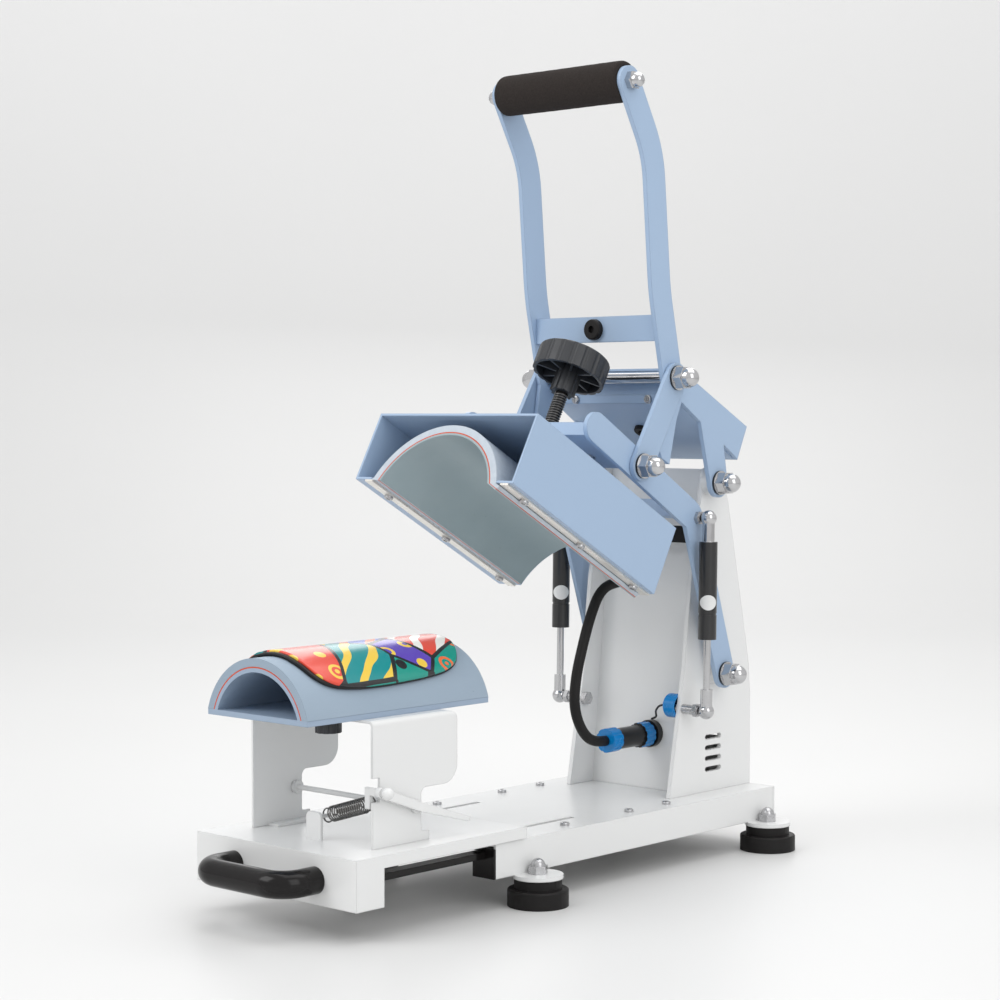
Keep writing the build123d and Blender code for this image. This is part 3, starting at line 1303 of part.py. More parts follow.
def platform_pad():
    face = arch_face(PAD_OUTER_RADIUS - PAD_SHEET, PAD_OUTER_RADIUS, PLATEN_FLOOR_TOP)
    return [from_front(face, PLATEN_FRONT, PLATEN_REAR)]


def platform_knob():
    """Thumb knob whose stud clamps the lower platen to its stand."""
    diameter, z0, z1 = THUMB_KNOB
    face = fluted_face(diameter / 2, THUMB_FLUTES, 0.7)
    knob = Pos(0, THUMB_KNOB_Y, z0) * extrude(face, amount=z1 - z0)
    stud = rod_z(0, THUMB_KNOB_Y, THUMB_STUD, z1, PLATEN_FLOOR_TOP - 1)
    return [knob + stud]


def lock_lever():
    """Lever with its ball, cross shaft with collar, and the tab that holds the spring."""
    lever = from_side(taper_face([LOCK_NOSE, LOCK_PIVOT, LOCK_TAIL], LOCK_RADII), LOCK_IN, LOCK_OUT)
    lever += rod_x(*LOCK_NOSE, LOCK_NECK, LOCK_OUT, LOCK_OUT + 4)
    lever += Pos(LOCK_OUT + LOCK_BALL / 2, *LOCK_NOSE) * Sphere(LOCK_BALL / 2)
    inner = STAND_HALF - STAND_SHEET
    lever += rod_x(*LOCK_PIVOT, LOCK_SHAFT, -STAND_HALF, LOCK_IN)
    lever += rod_x(*LOCK_PIVOT, LOCK_COLLAR, 0.3 - inner, 3.3 - inner)
    lever += rod_x(*LOCK_PIVOT, LOCK_COLLAR, STAND_HALF + 0.3, LOCK_IN)
    x0, y0, y1, z0, z1 = LOCK_TAB
    width, low = LOCK_TAB_DROP
    lever += block(x0, LOCK_IN, y0, y1, z0, z1) + block(x0, x0 + width, y0, y1, low, z1)
    lever += rod_y(*LOCK_TAB_PIN, PIN_DIAMETER, y1, PIN_TIP_Y)
    return [lever]


def biarc(p0, t0, p1, t1):
    """Two arcs that leave p0 along t0 and reach p1 along t1."""
    span = p1 - p0
    both = t0 + t1
    spread = 2 * (1 - t0.dot(t1))
    along = span.dot(both)
    reach = (math.sqrt(along ** 2 + spread * span.dot(span)) - along) / spread
    middle = (p0 + p1 + (t0 - t1) * reach) * 0.5
    heading = (p1 - t1 * reach) - (p0 + t0 * reach)
    return [
        TangentArc(p0, middle, tangent=t0),
        TangentArc(middle, p1, tangent=heading.normalized()),
    ]


def spring_path():
    """Edges of the spring wire: loop, run in, coil, run out and loop, all tangent."""
    start_pin = Vector(LUG_PIN[0], SPRING_Y, LUG_PIN[1])
    end_pin = Vector(LOCK_TAB_PIN[0], SPRING_Y, LOCK_TAB_PIN[1])
    axis = (end_pin - start_pin).normalized()
    across = Vector(0, 1, 0)
    up = axis.cross(across)
    seat = SPRING_LOOP - SPRING_WIRE / 2 - PIN_DIAMETER / 2 - SPRING_SEAT
    inset = seat + SPRING_LOOP
    coil_start = start_pin + axis * inset
    coil_length = (end_pin - start_pin).length - 2 * inset
    pitch = coil_length / SPRING_TURNS

    def helix(turns):
        angle = 2 * math.pi * turns
        radial = across * math.cos(angle) + up * math.sin(angle)
        sideways = up * math.cos(angle) - across * math.sin(angle)
        point = coil_start + axis * (pitch * turns) + radial * SPRING_RADIUS
        tangent = sideways * (2 * math.pi * SPRING_RADIUS) + axis * pitch
        return point, tangent.normalized(), sideways

    def loop(entry, heading, outward):
        """A loop that leaves the entry along the heading and curls towards outward."""
        centre = entry + outward * SPRING_LOOP
        places = []
        for degrees in (75, 150, 225, 300):
            angle = math.radians(degrees)
            inward = outward * (-SPRING_LOOP * math.cos(angle))
            places.append(centre + inward + heading * (SPRING_LOOP * math.sin(angle)))
        return [
            ThreePointArc(entry, places[0], places[1]),
            ThreePointArc(places[1], places[2], places[3]),
        ]

    first, first_tangent, first_side = helix(0)
    last, last_tangent, last_side = helix(SPRING_TURNS)
    first_entry = coil_start
    last_entry = coil_start + axis * coil_length
    lead_in = biarc(first_entry, first_side * -1, first, first_tangent)
    lead_out = biarc(last, last_tangent, last_entry, last_side * -1)
    edges = list(reversed(loop(first_entry, first_side, axis * -1)))
    edges += lead_in
    steps = int(SPRING_TURNS * 4)
    for i in range(steps):
        p0, t0, _ = helix(i / 4)
        p1, t1, _ = helix((i + 1) / 4)
        edges += biarc(p0, t0, p1, t1)
    edges += lead_out
    edges += loop(last_entry, last_side * -1, axis)
    return edges


def least_gap(path):
    """Least gap of the wire to itself, measured on points along it."""
    step = SPRING_WIRE / 2
    count = int(path.length / step)
    points = [path @ (i / count) for i in range(count + 1)]
    apart = 10
    least = BIG
    for i, a in enumerate(points):
        for b in points[i + apart:]:
            least = min(least, (b - a).length)
    return least - SPRING_WIRE


def lever_spring():
    edges = spring_path()
    path = Wire([edge.edge() for edge in edges])
    section = Plane(origin=path @ 0, z_dir=path % 0) * Circle(SPRING_WIRE / 2)
    spring = sweep(section, path=path)
    expected = math.pi * SPRING_WIRE ** 2 / 4 * path.length
    print("spring wire length", round(path.length, 1), "volume ratio", round(spring.volume / expected, 4))
    print("spring least gap", round(least_gap(path), 2))
    return [spring]


def guard_side():
    """The guard seen from the side: its lower edge runs level and rises in a long curve at each end."""
    top = ARCH_Z + PAD_OUTER_RADIUS + 10
    edge = [(GUARD_FRONT + along, GUARD_LOW + rise) for along, rise in GUARD_EDGE]
    curve = Spline((GUARD_FRONT, top), *edge, (GUARD_REAR, top))
    return make_face(curve + Line(curve @ 1, curve @ 0))


def guard_layer(r_in, r_out):
    """A layer of the guard, cut to its outline seen from the side."""
    spare = 5.0
    face = arch_face(r_in, r_out, GUARD_LOW - spare)
    layer = from_front(face, GUARD_FRONT - spare, GUARD_REAR + spare)
    return layer & from_side(guard_side(), -BASE_HALF, BASE_HALF)


def guard_foam():
    r_in = PAD_OUTER_RADIUS + GUARD_GAP
    return [guard_layer(r_in, r_in + GUARD_FOAM)]


def guard_shell():
    r_in = PAD_OUTER_RADIUS + GUARD_GAP + GUARD_FOAM
    return [guard_layer(r_in, r_in + GUARD_SHELL)]


NODES = {
    "base_frame": base_frame,
    "rear_cover": rear_cover,
    "base_screws": base_screws,
    "rubber_feet_and_stop": lambda: rubber_feet() + [arm_stop()],
    "inlet_module": inlet_module,
    "rocker_switch": rocker_switch,
    "column": column,
    "column_cover": column_cover,
    "column_pivots": column_pivots,
    "lower_ball_studs": lower_ball_studs,
    "upper_ball_studs": upper_ball_studs,
    "gas_spring_rods": gas_spring_rods,
    "gas_spring_tubes": gas_spring_tubes,
    "connector_socket": connector_socket,
    "connector_cap": connector_cap,
    "cable_plug": cable_plug,
    "heater_cable": heater_cable,
    "cable_gland": cable_gland,
    "arm_plates": arm_plates,
    "arm_cross_plate": arm_cross_plate,
    "link_pivots": link_pivots,
    "link_bars": link_bars,
    "knee_nuts": knee_nuts,
    "lever_plates": lever_plates,
    "grip_rod": grip_rod,
    "foam_grip": foam_grip,
    "handle_brace": handle_brace,
    "rest_bumper": rest_bumper,
    "knee_rod": knee_rod,
    "controller_case": controller_case,
    "controller_panel": controller_panel,
    "controller_screws": controller_screws,
    "panel_grommet": panel_grommet,
    "display_lens": display_lens,
    "circuit_board": circuit_board,
    "set_button": lambda: panel_button(BUTTON_XS[0]),
    "down_button": lambda: panel_button(BUTTON_XS[1]),
    "up_button": lambda: panel_button(BUTTON_XS[2]),
    "platen_box": platen_box,
    "heater_backing": heater_backing,
    "platen_seal": platen_seal,
    "heating_plate": heating_plate,
    "clamp_strips": clamp_strips,
    "strip_screws": strip_screws,
    "guide_pins": guide_pins,
    "pressure_knob": pressure_knob,
    "pressure_screw": pressure_screw,
    "drawer_plate": drawer_plate,
    "drawer_handle": drawer_handle,
    "outer_slide_rails": outer_slide_rails,
    "inner_slide_rails": inner_slide_rails,
    "platform_stand": platform_stand,
    "platform_arch": platform_arch,
    "platform_seal": platform_seal,
    "platform_pad": platform_pad,
    "platform_knob": platform_knob,
    "lock_lever": lock_lever,
    "lever_spring": lever_spring,
    "guard_shell": guard_shell,
    "guard_foam": guard_foam,
}

os.makedirs("parts", exist_ok=True)
for node, make in NODES.items():
    write(node, make())
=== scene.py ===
import json
import math
import bmesh
import bpy
from mathutils import Matrix, Vector
from mathutils.kdtree import KDTree


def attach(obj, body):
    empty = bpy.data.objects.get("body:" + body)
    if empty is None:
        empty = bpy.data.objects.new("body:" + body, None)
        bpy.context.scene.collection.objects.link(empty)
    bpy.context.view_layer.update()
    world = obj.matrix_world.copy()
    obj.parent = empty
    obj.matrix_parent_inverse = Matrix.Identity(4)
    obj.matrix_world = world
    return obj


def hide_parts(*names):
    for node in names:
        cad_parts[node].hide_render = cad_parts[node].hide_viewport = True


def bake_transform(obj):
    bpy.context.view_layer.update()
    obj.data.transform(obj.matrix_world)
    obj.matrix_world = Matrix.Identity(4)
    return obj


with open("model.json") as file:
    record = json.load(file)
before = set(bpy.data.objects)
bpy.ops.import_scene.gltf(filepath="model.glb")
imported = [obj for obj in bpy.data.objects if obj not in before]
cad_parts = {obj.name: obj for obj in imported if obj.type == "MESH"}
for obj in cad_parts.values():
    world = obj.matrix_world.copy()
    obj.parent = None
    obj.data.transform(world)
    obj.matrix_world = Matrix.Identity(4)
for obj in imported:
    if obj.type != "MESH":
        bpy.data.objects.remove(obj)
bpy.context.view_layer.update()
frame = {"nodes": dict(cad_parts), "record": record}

# Sizes are in metres and in the frame of the CAD. Places on the head are those of the closed press.
ARM_PIVOT = (0.2135, 0.1487)
ARM_TRAVEL = math.radians(28.8)
BOX_REAR = 0.0772
BOX_TOP = 0.2165
ARCH_Z = 0.1388


# Camera, fitted to the edges of the object in the photograph

LENS = 80.68
YAW = math.radians(42.354)
PITCH = math.radians(2.198)
CAMERA_PLACE = (1.18328, -1.28905, 0.36494)


def make_camera():
    camera = bpy.data.cameras.new("camera")
    camera.sensor_width = 36.0
    camera.sensor_fit = "HORIZONTAL"
    camera.lens = LENS
    camera.clip_end = 20.0
    viewer = bpy.data.objects.new("camera", camera)
    bpy.context.scene.collection.objects.link(viewer)
    level = math.cos(PITCH)
    forward = Vector((-math.sin(YAW) * level, math.cos(YAW) * level, -math.sin(PITCH)))
    viewer.location = CAMERA_PLACE
    viewer.rotation_euler = forward.to_track_quat("-Z", "Y").to_euler()
    bpy.context.scene.camera = viewer


make_camera()


# Material helpers

class Shader:
    """A material with a Principled shader and short calls for its nodes."""

    def __init__(self, name, roughness=0.5, metallic=0.0, specular=0.5, coat=0.0):
        self.material = bpy.data.materials.new(name)
        self.material.use_nodes = True
        self.tree = self.material.node_tree
        self.bsdf = self.tree.nodes["Principled BSDF"]
        self.bsdf.inputs["Roughness"].default_value = roughness
        self.bsdf.inputs["Metallic"].default_value = metallic
        self.bsdf.inputs["Specular IOR Level"].default_value = specular
        self.bsdf.inputs["Coat Weight"].default_value = coat
        self.bsdf.inputs["Coat Roughness"].default_value = 0.12
        self.place = None

    def node(self, kind, **values):
        """A new node, with values for its settings and its sockets."""
        made = self.tree.nodes.new(kind)
        for key, value in values.items():
            if hasattr(made, key):
                setattr(made, key, value)
            else:
                made.inputs[key].default_value = value
        return made

    def link(self, out, into):
        self.tree.links.new(out, into)

    def feed(self, value, socket):
        """Link a socket to another node, or set its number or colour."""
        if isinstance(value, bpy.types.NodeSocket):
            self.link(value, socket)
        elif isinstance(value, (int, float)):
            socket.default_value = value
        else:
            socket.default_value = (*value, 1)

    def where(self, scale=(1, 1, 1)):
        """Object coordinates, stretched along each axis."""
        if self.place is None:
            self.place = self.node("ShaderNodeTexCoord")
        mapping = self.node("ShaderNodeMapping")
        mapping.inputs["Scale"].default_value = scale
        self.link(self.place.outputs["Object"], mapping.inputs["Vector"])
        return mapping.outputs["Vector"]

    def noise(self, scale, detail=3.0, rough=0.5, stretch=(1, 1, 1)):
        made = self.node("ShaderNodeTexNoise", Scale=scale, Detail=detail, Roughness=rough)
        self.link(self.where(stretch), made.inputs["Vector"])
        return made.outputs["Fac"]

    def cells(self, scale, feature="F1", stretch=(1, 1, 1), vector=None, randomness=1.0, out="Distance"):
        """Cell texture on the object coordinates, or on the vector where one is given."""
        made = self.node("ShaderNodeTexVoronoi", feature=feature)
        made.inputs["Scale"].default_value = scale
        made.inputs["Randomness"].default_value = randomness
        self.link(vector or self.where(stretch), made.inputs["Vector"])
        return made.outputs[out]

    def ramp(self, value, stops, interpolation="LINEAR"):
        made = self.node("ShaderNodeValToRGB")
        ramp = made.color_ramp
        ramp.interpolation = interpolation
        while len(ramp.elements) < len(stops):
            ramp.elements.new(0.5)
        for element, (position, color) in zip(ramp.elements, stops):
            element.position = position
            element.color = (*color, 1)
        self.link(value, made.inputs["Fac"])
        return made.outputs["Color"]

    def mix(self, factor, first, second):
        made = self.node("ShaderNodeMix", data_type="RGBA")
        self.feed(factor, made.inputs[0])
        self.feed(first, made.inputs[6])
        self.feed(second, made.inputs[7])
        return made.outputs[2]

    def span(self, value, low, high, start=0.3, stop=0.7):
        """A value between start and stop, spread between two other numbers."""
        made = self.node("ShaderNodeMapRange")
        made.inputs["From Min"].default_value = start
        made.inputs["From Max"].default_value = stop
        made.inputs["To Min"].default_value = low
        made.inputs["To Max"].default_value = high
        self.link(value, made.inputs["Value"])
        return made.outputs["Result"]

    def math(self, operation, a, b=0.0):
        made = self.node("ShaderNodeMath", operation=operation)
        self.feed(a, made.inputs[0])
        self.feed(b, made.inputs[1])
        return made.outputs[0]

    def axes(self):
        """The three object coordinates."""
        made = self.node("ShaderNodeSeparateXYZ")
        self.link(self.where(), made.inputs["Vector"])
        return made.outputs["X"], made.outputs["Y"], made.outputs["Z"]

    def between(self, value, low, high):
        """1 where a value lies between two numbers, else 0."""
        above = self.math("GREATER_THAN", value, low)
        below = self.math("LESS_THAN", value, high)
        return self.math("MULTIPLY", above, below)

    def color(self, value):
        self.feed(value, self.bsdf.inputs["Base Color"])

    def roughness(self, value):
        self.link(value, self.bsdf.inputs["Roughness"])

    def bump(self, height, distance, strength=1.0, edge=0.0):
        """Surface relief in metres, with softened edges where edge is a radius."""
        made = self.node("ShaderNodeBump", Strength=strength, Distance=distance)
        self.link(height, made.inputs["Height"])
        if edge:
            round_edge = self.node("ShaderNodeBevel", samples=4, Radius=edge)
            self.link(round_edge.outputs["Normal"], made.inputs["Normal"])
        self.link(made.outputs["Normal"], self.bsdf.inputs["Normal"])


def shade(color, factor):
    return tuple(min(1.0, channel * factor) for channel in color)


def powder_coat(name, color, roughness=0.38, edge=0.0012, grain=0.00006, coat=0.12, specular=0.5):
    """Powder coat: faint cloudiness, orange peel, rounded folds."""
    s = Shader(name, roughness, coat=coat, specular=specular)
    cloud = s.noise(9.0, 4.0)
    s.color(s.mix(cloud, shade(color, 0.975), shade(color, 1.025)))
    s.roughness(s.span(s.noise(14.0, 2.0), roughness - 0.015, roughness + 0.02))
    s.bump(s.noise(900.0, 2.0), grain, 0.5, edge)
    return s.material


def bare_metal(name, color, roughness, spread=0.1, grain=0.00002):
    """Plain metal with a faint grain and uneven gloss."""
    s = Shader(name, roughness, metallic=1.0)
    s.color(s.mix(s.noise(60.0, 4.0), shade(color, 0.88), shade(color, 1.06)))
    s.roughness(s.span(s.noise(280.0, 3.0), roughness - spread / 2, roughness + spread))
    s.bump(s.noise(700.0, 2.0), grain, 0.4, 0.0003)
    return s.material


def moulded(name, color, roughness, grain=0.00004, scale=1400.0, coat=0.0, specular=0.5):
    """Moulded plastic or rubber with a fine grain."""
    s = Shader(name, roughness, coat=coat, specular=specular)
    s.color(s.mix(s.noise(35.0, 3.0), shade(color, 0.85), shade(color, 1.15)))
    s.roughness(s.span(s.noise(90.0, 3.0), roughness - 0.06, roughness + 0.08))
    s.bump(s.noise(scale, 2.0), grain, 0.6, 0.0004)
    return s.material


# A finish is a colour, a metallic value and a roughness
CHROME = ((0.56, 0.56, 0.57), 1.0, 0.10)
BLACK = ((0.010, 0.010, 0.011), 0.0, 0.30)
WHITE = ((0.76, 0.765, 0.76), 0.0, 0.30)
BLUE = ((0.0, 0.200, 0.540), 0.0, 0.26)


def mottled(s, cloud, color):
    return s.mix(cloud, shade(color, 0.88), shade(color, 1.08))


def layer_finishes(s, plain, bands):
    """Mix finishes on one shader, where a band is a mask and the finish that it shows."""
    plain_color, plain_metallic, plain_roughness = plain
    cloud = s.noise(50.0, 3.0)
    color = mottled(s, cloud, plain_color)
    metallic = (plain_metallic,) * 3
    roughness = s.span(s.noise(90.0, 3.0), plain_roughness - 0.03, plain_roughness + 0.05)
    for mask, finish in bands:
        band_color, band_metallic, band_roughness = finish
        color = s.mix(mask, color, mottled(s, cloud, band_color))
        metallic = s.mix(mask, metallic, (band_metallic,) * 3)
        roughness = s.mix(mask, roughness, (band_roughness,) * 3)
    s.color(color)
    s.link(metallic, s.bsdf.inputs["Metallic"])
    s.roughness(roughness)
    s.bump(s.noise(900.0, 2.0), 0.00001, 0.4, 0.0004)
    return s.material


def banded(name, plain, *bands):
    """Several finishes on one piece. A band is an axis, two limits and a finish; X counts from the middle."""
    s = Shader(name)
    x, y, z = s.axes()
    values = {"X": s.math("ABSOLUTE", x), "Y": y, "Z": z}
    masks = [(s.between(values[axis], low, high), finish) for axis, low, high, finish in bands]
    return layer_finishes(s, plain, masks)


# Gas spring tubes: their axis, the height where the bright ball end starts, and the blank label
GAS_X = 0.079
GAS_Y = 0.1737
GAS_TUBE_TOP = 0.2608
LABEL_TURN = math.radians(42.354)
LABEL_Z = 0.2115
LABEL_HALF_WIDTH = 0.0066
LABEL_HALF_HEIGHT = 0.0062


def gas_tube_material():
    """Gloss black tube with a bright ball end, and a blank white oval on its front right."""
    s = Shader("gas_tube", coat=0.4)
    x, y, z = s.axes()
    turn_x = math.cos(LABEL_TURN)
    turn_y = math.sin(LABEL_TURN)
    across = s.math("SUBTRACT", x, s.math("MULTIPLY", s.math("SIGN", x), GAS_X))
    along = s.math("SUBTRACT", y, GAS_Y)
    side = s.math("ADD", s.math("MULTIPLY", across, turn_x), s.math("MULTIPLY", along, turn_y))
    facing = s.math("SUBTRACT", s.math("MULTIPLY", across, turn_y), s.math("MULTIPLY", along, turn_x))
    wide = s.math("POWER", s.math("DIVIDE", side, LABEL_HALF_WIDTH), 2.0)
    high = s.math("POWER", s.math("DIVIDE", s.math("SUBTRACT", z, LABEL_Z), LABEL_HALF_HEIGHT), 2.0)
    oval = s.math("LESS_THAN", s.math("ADD", wide, high), 1.0)
    label = s.math("MULTIPLY", oval, s.math("GREATER_THAN", facing, 0.0))
    return layer_finishes(s, BLACK, [(s.between(z, GAS_TUBE_TOP, 1.0), CHROME), (label, WHITE)])


# Ends of a ramp that works as a mask
OFF = (0, 0, 0)
ON = (1, 1, 1)


def foam_material():
    """Dense foam: fine grain, a few paler flecks."""
    s = Shader("foam_black", 0.95, specular=0.12)
    grain = s.noise(900.0, 4.0, 0.6)
    flecks = s.ramp(s.cells(260.0), [(0.0, ON), (0.07, OFF)])
    base = s.mix(grain, (0.016, 0.0135, 0.0125), (0.048, 0.040, 0.037))
    s.color(s.mix(s.math("MULTIPLY", flecks, 0.5), base, (0.11, 0.10, 0.09)))
    s.bump(grain, 0.00035, 0.8)
    return s.material


def backing_material():
    """Light insulating board, mottled and slightly ragged."""
    s = Shader("insulating_board", 0.75, specular=0.3)
    fine = s.noise(260.0, 5.0, 0.65)
    broad = s.noise(22.0, 3.0)
    base = s.mix(fine, (0.40, 0.46, 0.53), (0.60, 0.66, 0.72))
    s.color(s.mix(s.math("MULTIPLY", broad, 0.3), base, (0.50, 0.55, 0.60)))
    s.bump(fine, 0.00035, 0.6, 0.0006)
    return s.material


def plate_material():
    """Coated heating plate: grey green, cloudy, with a few dark specks."""
    s = Shader("plate_coating", 0.34, metallic=0.25, specular=0.5)
    broad = s.noise(11.0, 5.0, 0.6)
    base = s.mix(broad, (0.235, 0.315, 0.345), (0.365, 0.450, 0.475))
    specks = s.ramp(s.cells(95.0, stretch=(1, 1, 1.3)), [(0.0, ON), (0.055, OFF)])
    s.color(s.mix(specks, base, (0.12, 0.14, 0.14)))
    s.roughness(s.span(s.noise(28.0, 4.0), 0.28, 0.46))
    s.bump(s.noise(420.0, 3.0), 0.00005, 0.5)
    return s.material


def pad_material():
    """Silicone sponge: fine pores, some rubbed marks."""
    s = Shader("sponge_pad", 0.62, specular=0.35)
    pores = s.cells(1500.0)
    rubs = s.noise(16.0, 5.0, 0.65, stretch=(1, 0.4, 1))
    base = s.mix(rubs, (0.270, 0.345, 0.430), (0.335, 0.415, 0.500))
    marks = s.ramp(s.cells(60.0, stretch=(1, 0.5, 1)), [(0.0, ON), (0.05, OFF)])
    s.color(s.mix(marks, base, (0.13, 0.17, 0.21)))
    s.bump(s.math("ADD", pores, s.noise(300.0, 3.0)), 0.00012, 0.5, 0.0006)
    return s.material


def seal_material():
    """Red edge seal, uneven in colour like a bead of sealant."""
    s = Shader("seal_red", 0.55, specular=0.4)
    s.color(s.mix(s.noise(350.0, 4.0, 0.7), (0.42, 0.045, 0.02), (0.72, 0.13, 0.06)))
    s.bump(s.noise(700.0, 3.0), 0.0003, 0.8)
    return s.material


def strip_material():
    """Bright clamp strip with a brushed grain along its length."""
    s = Shader("bright_strip", 0.30, metallic=0.8)
    grain = s.noise(220.0, 4.0, stretch=(6, 0.25, 0.25))
    s.color(s.mix(grain, (0.70, 0.67, 0.61), (0.90, 0.88, 0.84)))
    s.roughness(s.span(s.noise(50.0, 3.0), 0.22, 0.40))
    s.bump(grain, 0.00003, 0.4, 0.0004)
    return s.material


# Cells of the guard's print in one metre
PATCH_SCALE = 19.0
RING_SCALE = 44.0


def print_material():
    """Printed guard shell: bright patches with bands and rings between dark outlines, all generic."""
    s = Shader("guard_print", 0.26, coat=0.3)
    uv = s.node("ShaderNodeUVMap", uv_map="flat").outputs["UV"]
    warp = s.node("ShaderNodeTexNoise", Scale=12.0, Detail=2.0)
    s.link(uv, warp.inputs["Vector"])
    shift = s.node("ShaderNodeVectorMath", operation="MULTIPLY_ADD")
    s.link(warp.outputs["Color"], shift.inputs[0])
    shift.inputs[1].default_value = (0.014, 0.014, 0.0)
    s.link(uv, shift.inputs[2])
    flat = shift.outputs["Vector"]
    split = s.node("ShaderNodeSeparateColor")
    s.link(s.cells(PATCH_SCALE, vector=flat, out="Color"), split.inputs["Color"])
    ground = s.ramp(split.outputs["Red"], [
        (0.0, (0.0, 0.27, 0.21)), (0.28, (0.70, 0.06, 0.03)), (0.42, (0.10, 0.05, 0.42)),
        (0.58, (0.78, 0.38, 0.03)), (0.72, (0.0, 0.24, 0.25)), (0.86, (0.03, 0.09, 0.50)),
    ], "CONSTANT")
    accent = s.ramp(split.outputs["Green"], [
        (0.0, (0.78, 0.78, 0.74)), (0.35, (0.01, 0.01, 0.012)),
        (0.55, (0.80, 0.15, 0.04)), (0.8, (0.80, 0.55, 0.06)),
    ], "CONSTANT")
    bands = s.node("ShaderNodeTexWave", Scale=26.0, Distortion=2.5, Detail=1.0)
    bands.wave_type = "BANDS"
    bands.bands_direction = "DIAGONAL"
    s.link(uv, bands.inputs["Vector"])
    stripes = s.ramp(bands.outputs["Fac"], [(0.0, OFF), (0.72, ON)], "CONSTANT")
    circles = s.cells(RING_SCALE, vector=uv, randomness=0.4)
    rings = s.ramp(circles, [(0.0, ON), (0.10, OFF), (0.20, ON), (0.31, OFF)], "CONSTANT")
    chosen = s.ramp(split.outputs["Blue"], [(0.0, OFF), (0.5, ON)], "CONSTANT")
    shown = s.mix(s.mix(chosen, stripes, rings), ground, accent)
    edge = s.cells(PATCH_SCALE, "DISTANCE_TO_EDGE", vector=flat)
    outline = s.ramp(edge, [(0.0, ON), (0.026, OFF)], "CONSTANT")
    s.color(s.mix(outline, shown, (0.008, 0.008, 0.010)))
    s.bump(s.noise(160.0, 2.0), 0.00005, 0.3)
    return s.material


MATERIALS = {
    "blue_paint": powder_coat("coat_blue", (0.345, 0.463, 0.630)),
    "panel": powder_coat("coat_panel", (0.345, 0.463, 0.630), 0.42, 0.0006),
    "white_paint": powder_coat("coat_white", (0.765, 0.77, 0.768), 0.24, coat=0.25),
    "platen_metal": powder_coat("coat_platen", (0.30, 0.385, 0.50), 0.45, 0.0005),
    "black_metal": powder_coat("gloss_black", (0.009, 0.008, 0.008), 0.15, 0.0006, 0.00002, 0.0, 0.24),
    "zinc": bare_metal("zinc_plate", (0.50, 0.50, 0.51), 0.26),
    "chrome": bare_metal("polished_chrome", (0.56, 0.56, 0.57), 0.10, 0.06, 0.000004),
    "steel_spring": bare_metal("spring_steel", (0.20, 0.195, 0.19), 0.28),
    "black_rubber": moulded("rubber_black", (0.011, 0.010, 0.010), 0.50, 0.00006, 600.0, specular=0.22),
    "dark_plastic": moulded("plastic_dark", (0.030, 0.032, 0.036), 0.42),
    "blue_plastic": moulded("plastic_blue", (0.0, 0.135, 0.52), 0.24, coat=0.3),
    "red_button": moulded("plastic_red", (0.50, 0.03, 0.02), 0.25, coat=0.3),
    "grey_button": moulded("plastic_grey", (0.22, 0.24, 0.26), 0.32),
    "board": moulded("board_green", (0.02, 0.13, 0.05), 0.4),
    "lens": moulded("lens_dark", (0.014, 0.018, 0.020), 0.08, 0.000002, coat=0.8),
    "foam": foam_material(),
    "red_seal": seal_material(),
    "backing": backing_material(),
    "heating_plate": plate_material(),
    "bright_strip": strip_material(),
    "pad": pad_material(),
    "shell_print": print_material(),
    "guard_foam": moulded("binding_black", (0.010, 0.010, 0.011), 0.42, 0.0001, 900.0, specular=0.3),
    "thread": bare_metal("thread_steel", (0.16, 0.155, 0.15), 0.36),
}

# Pieces with more than one finish, by their places in the frame
NODE_MATERIALS = {
    "column_pivots": banded("column_pivot", CHROME, ("X", 0.0681, 0.0701, BLACK), ("X", 0.0, 0.0640, WHITE)),
    "link_pivots": banded("link_pivot", CHROME, ("X", 0.0726, 0.0746, BLACK)),
    "knee_nuts": banded("knee_nut", CHROME, ("X", 0.0725, 0.0745, BLACK)),
    "cable_plug": banded("plug_shell", BLUE, ("Y", 0.1390, 0.1700, BLACK)),
    "connector_socket": banded("socket_shell", BLACK, ("Y", 0.1695, 0.1810, BLUE)),
    "connector_cap": banded("cap_and_strap", BLUE, ("X", 0.0, 0.0400, BLACK)),
    "gas_spring_tubes": gas_tube_material(),
}


def dress(piece, material):
    piece.data.materials.clear()
    piece.data.materials.append(material)


for part in frame["record"]["subparts"]:
    node = frame["nodes"][part["node"]]
    material = NODE_MATERIALS.get(part["node"], MATERIALS[part["material_slot"]])
    if not node.material_slots:
        node.data.materials.append(material)
    for place in node.material_slots:
        place.material = material


# Mesh helpers

def turn_faces_out(mesh, merge=0.0):
    """Make the normals consistent, after merging vertices that lie closer than the distance."""
    work = bmesh.new()
    work.from_mesh(mesh)
    if merge:
        bmesh.ops.remove_doubles(work, verts=work.verts, dist=merge)
    bmesh.ops.recalc_face_normals(work, faces=work.faces)
    work.to_mesh(mesh)
    work.free()


def new_piece(name, vertices, faces):
    """A smooth mesh object in the scene, with its normals outward."""
    mesh = bpy.data.meshes.new(name)
    mesh.from_pydata([tuple(v) for v in vertices], [], faces)
    mesh.validate()
    turn_faces_out(mesh)
    for polygon in mesh.polygons:
        polygon.use_smooth = True
    piece = bpy.data.objects.new(name, mesh)
    bpy.context.scene.collection.objects.link(piece)
    return piece


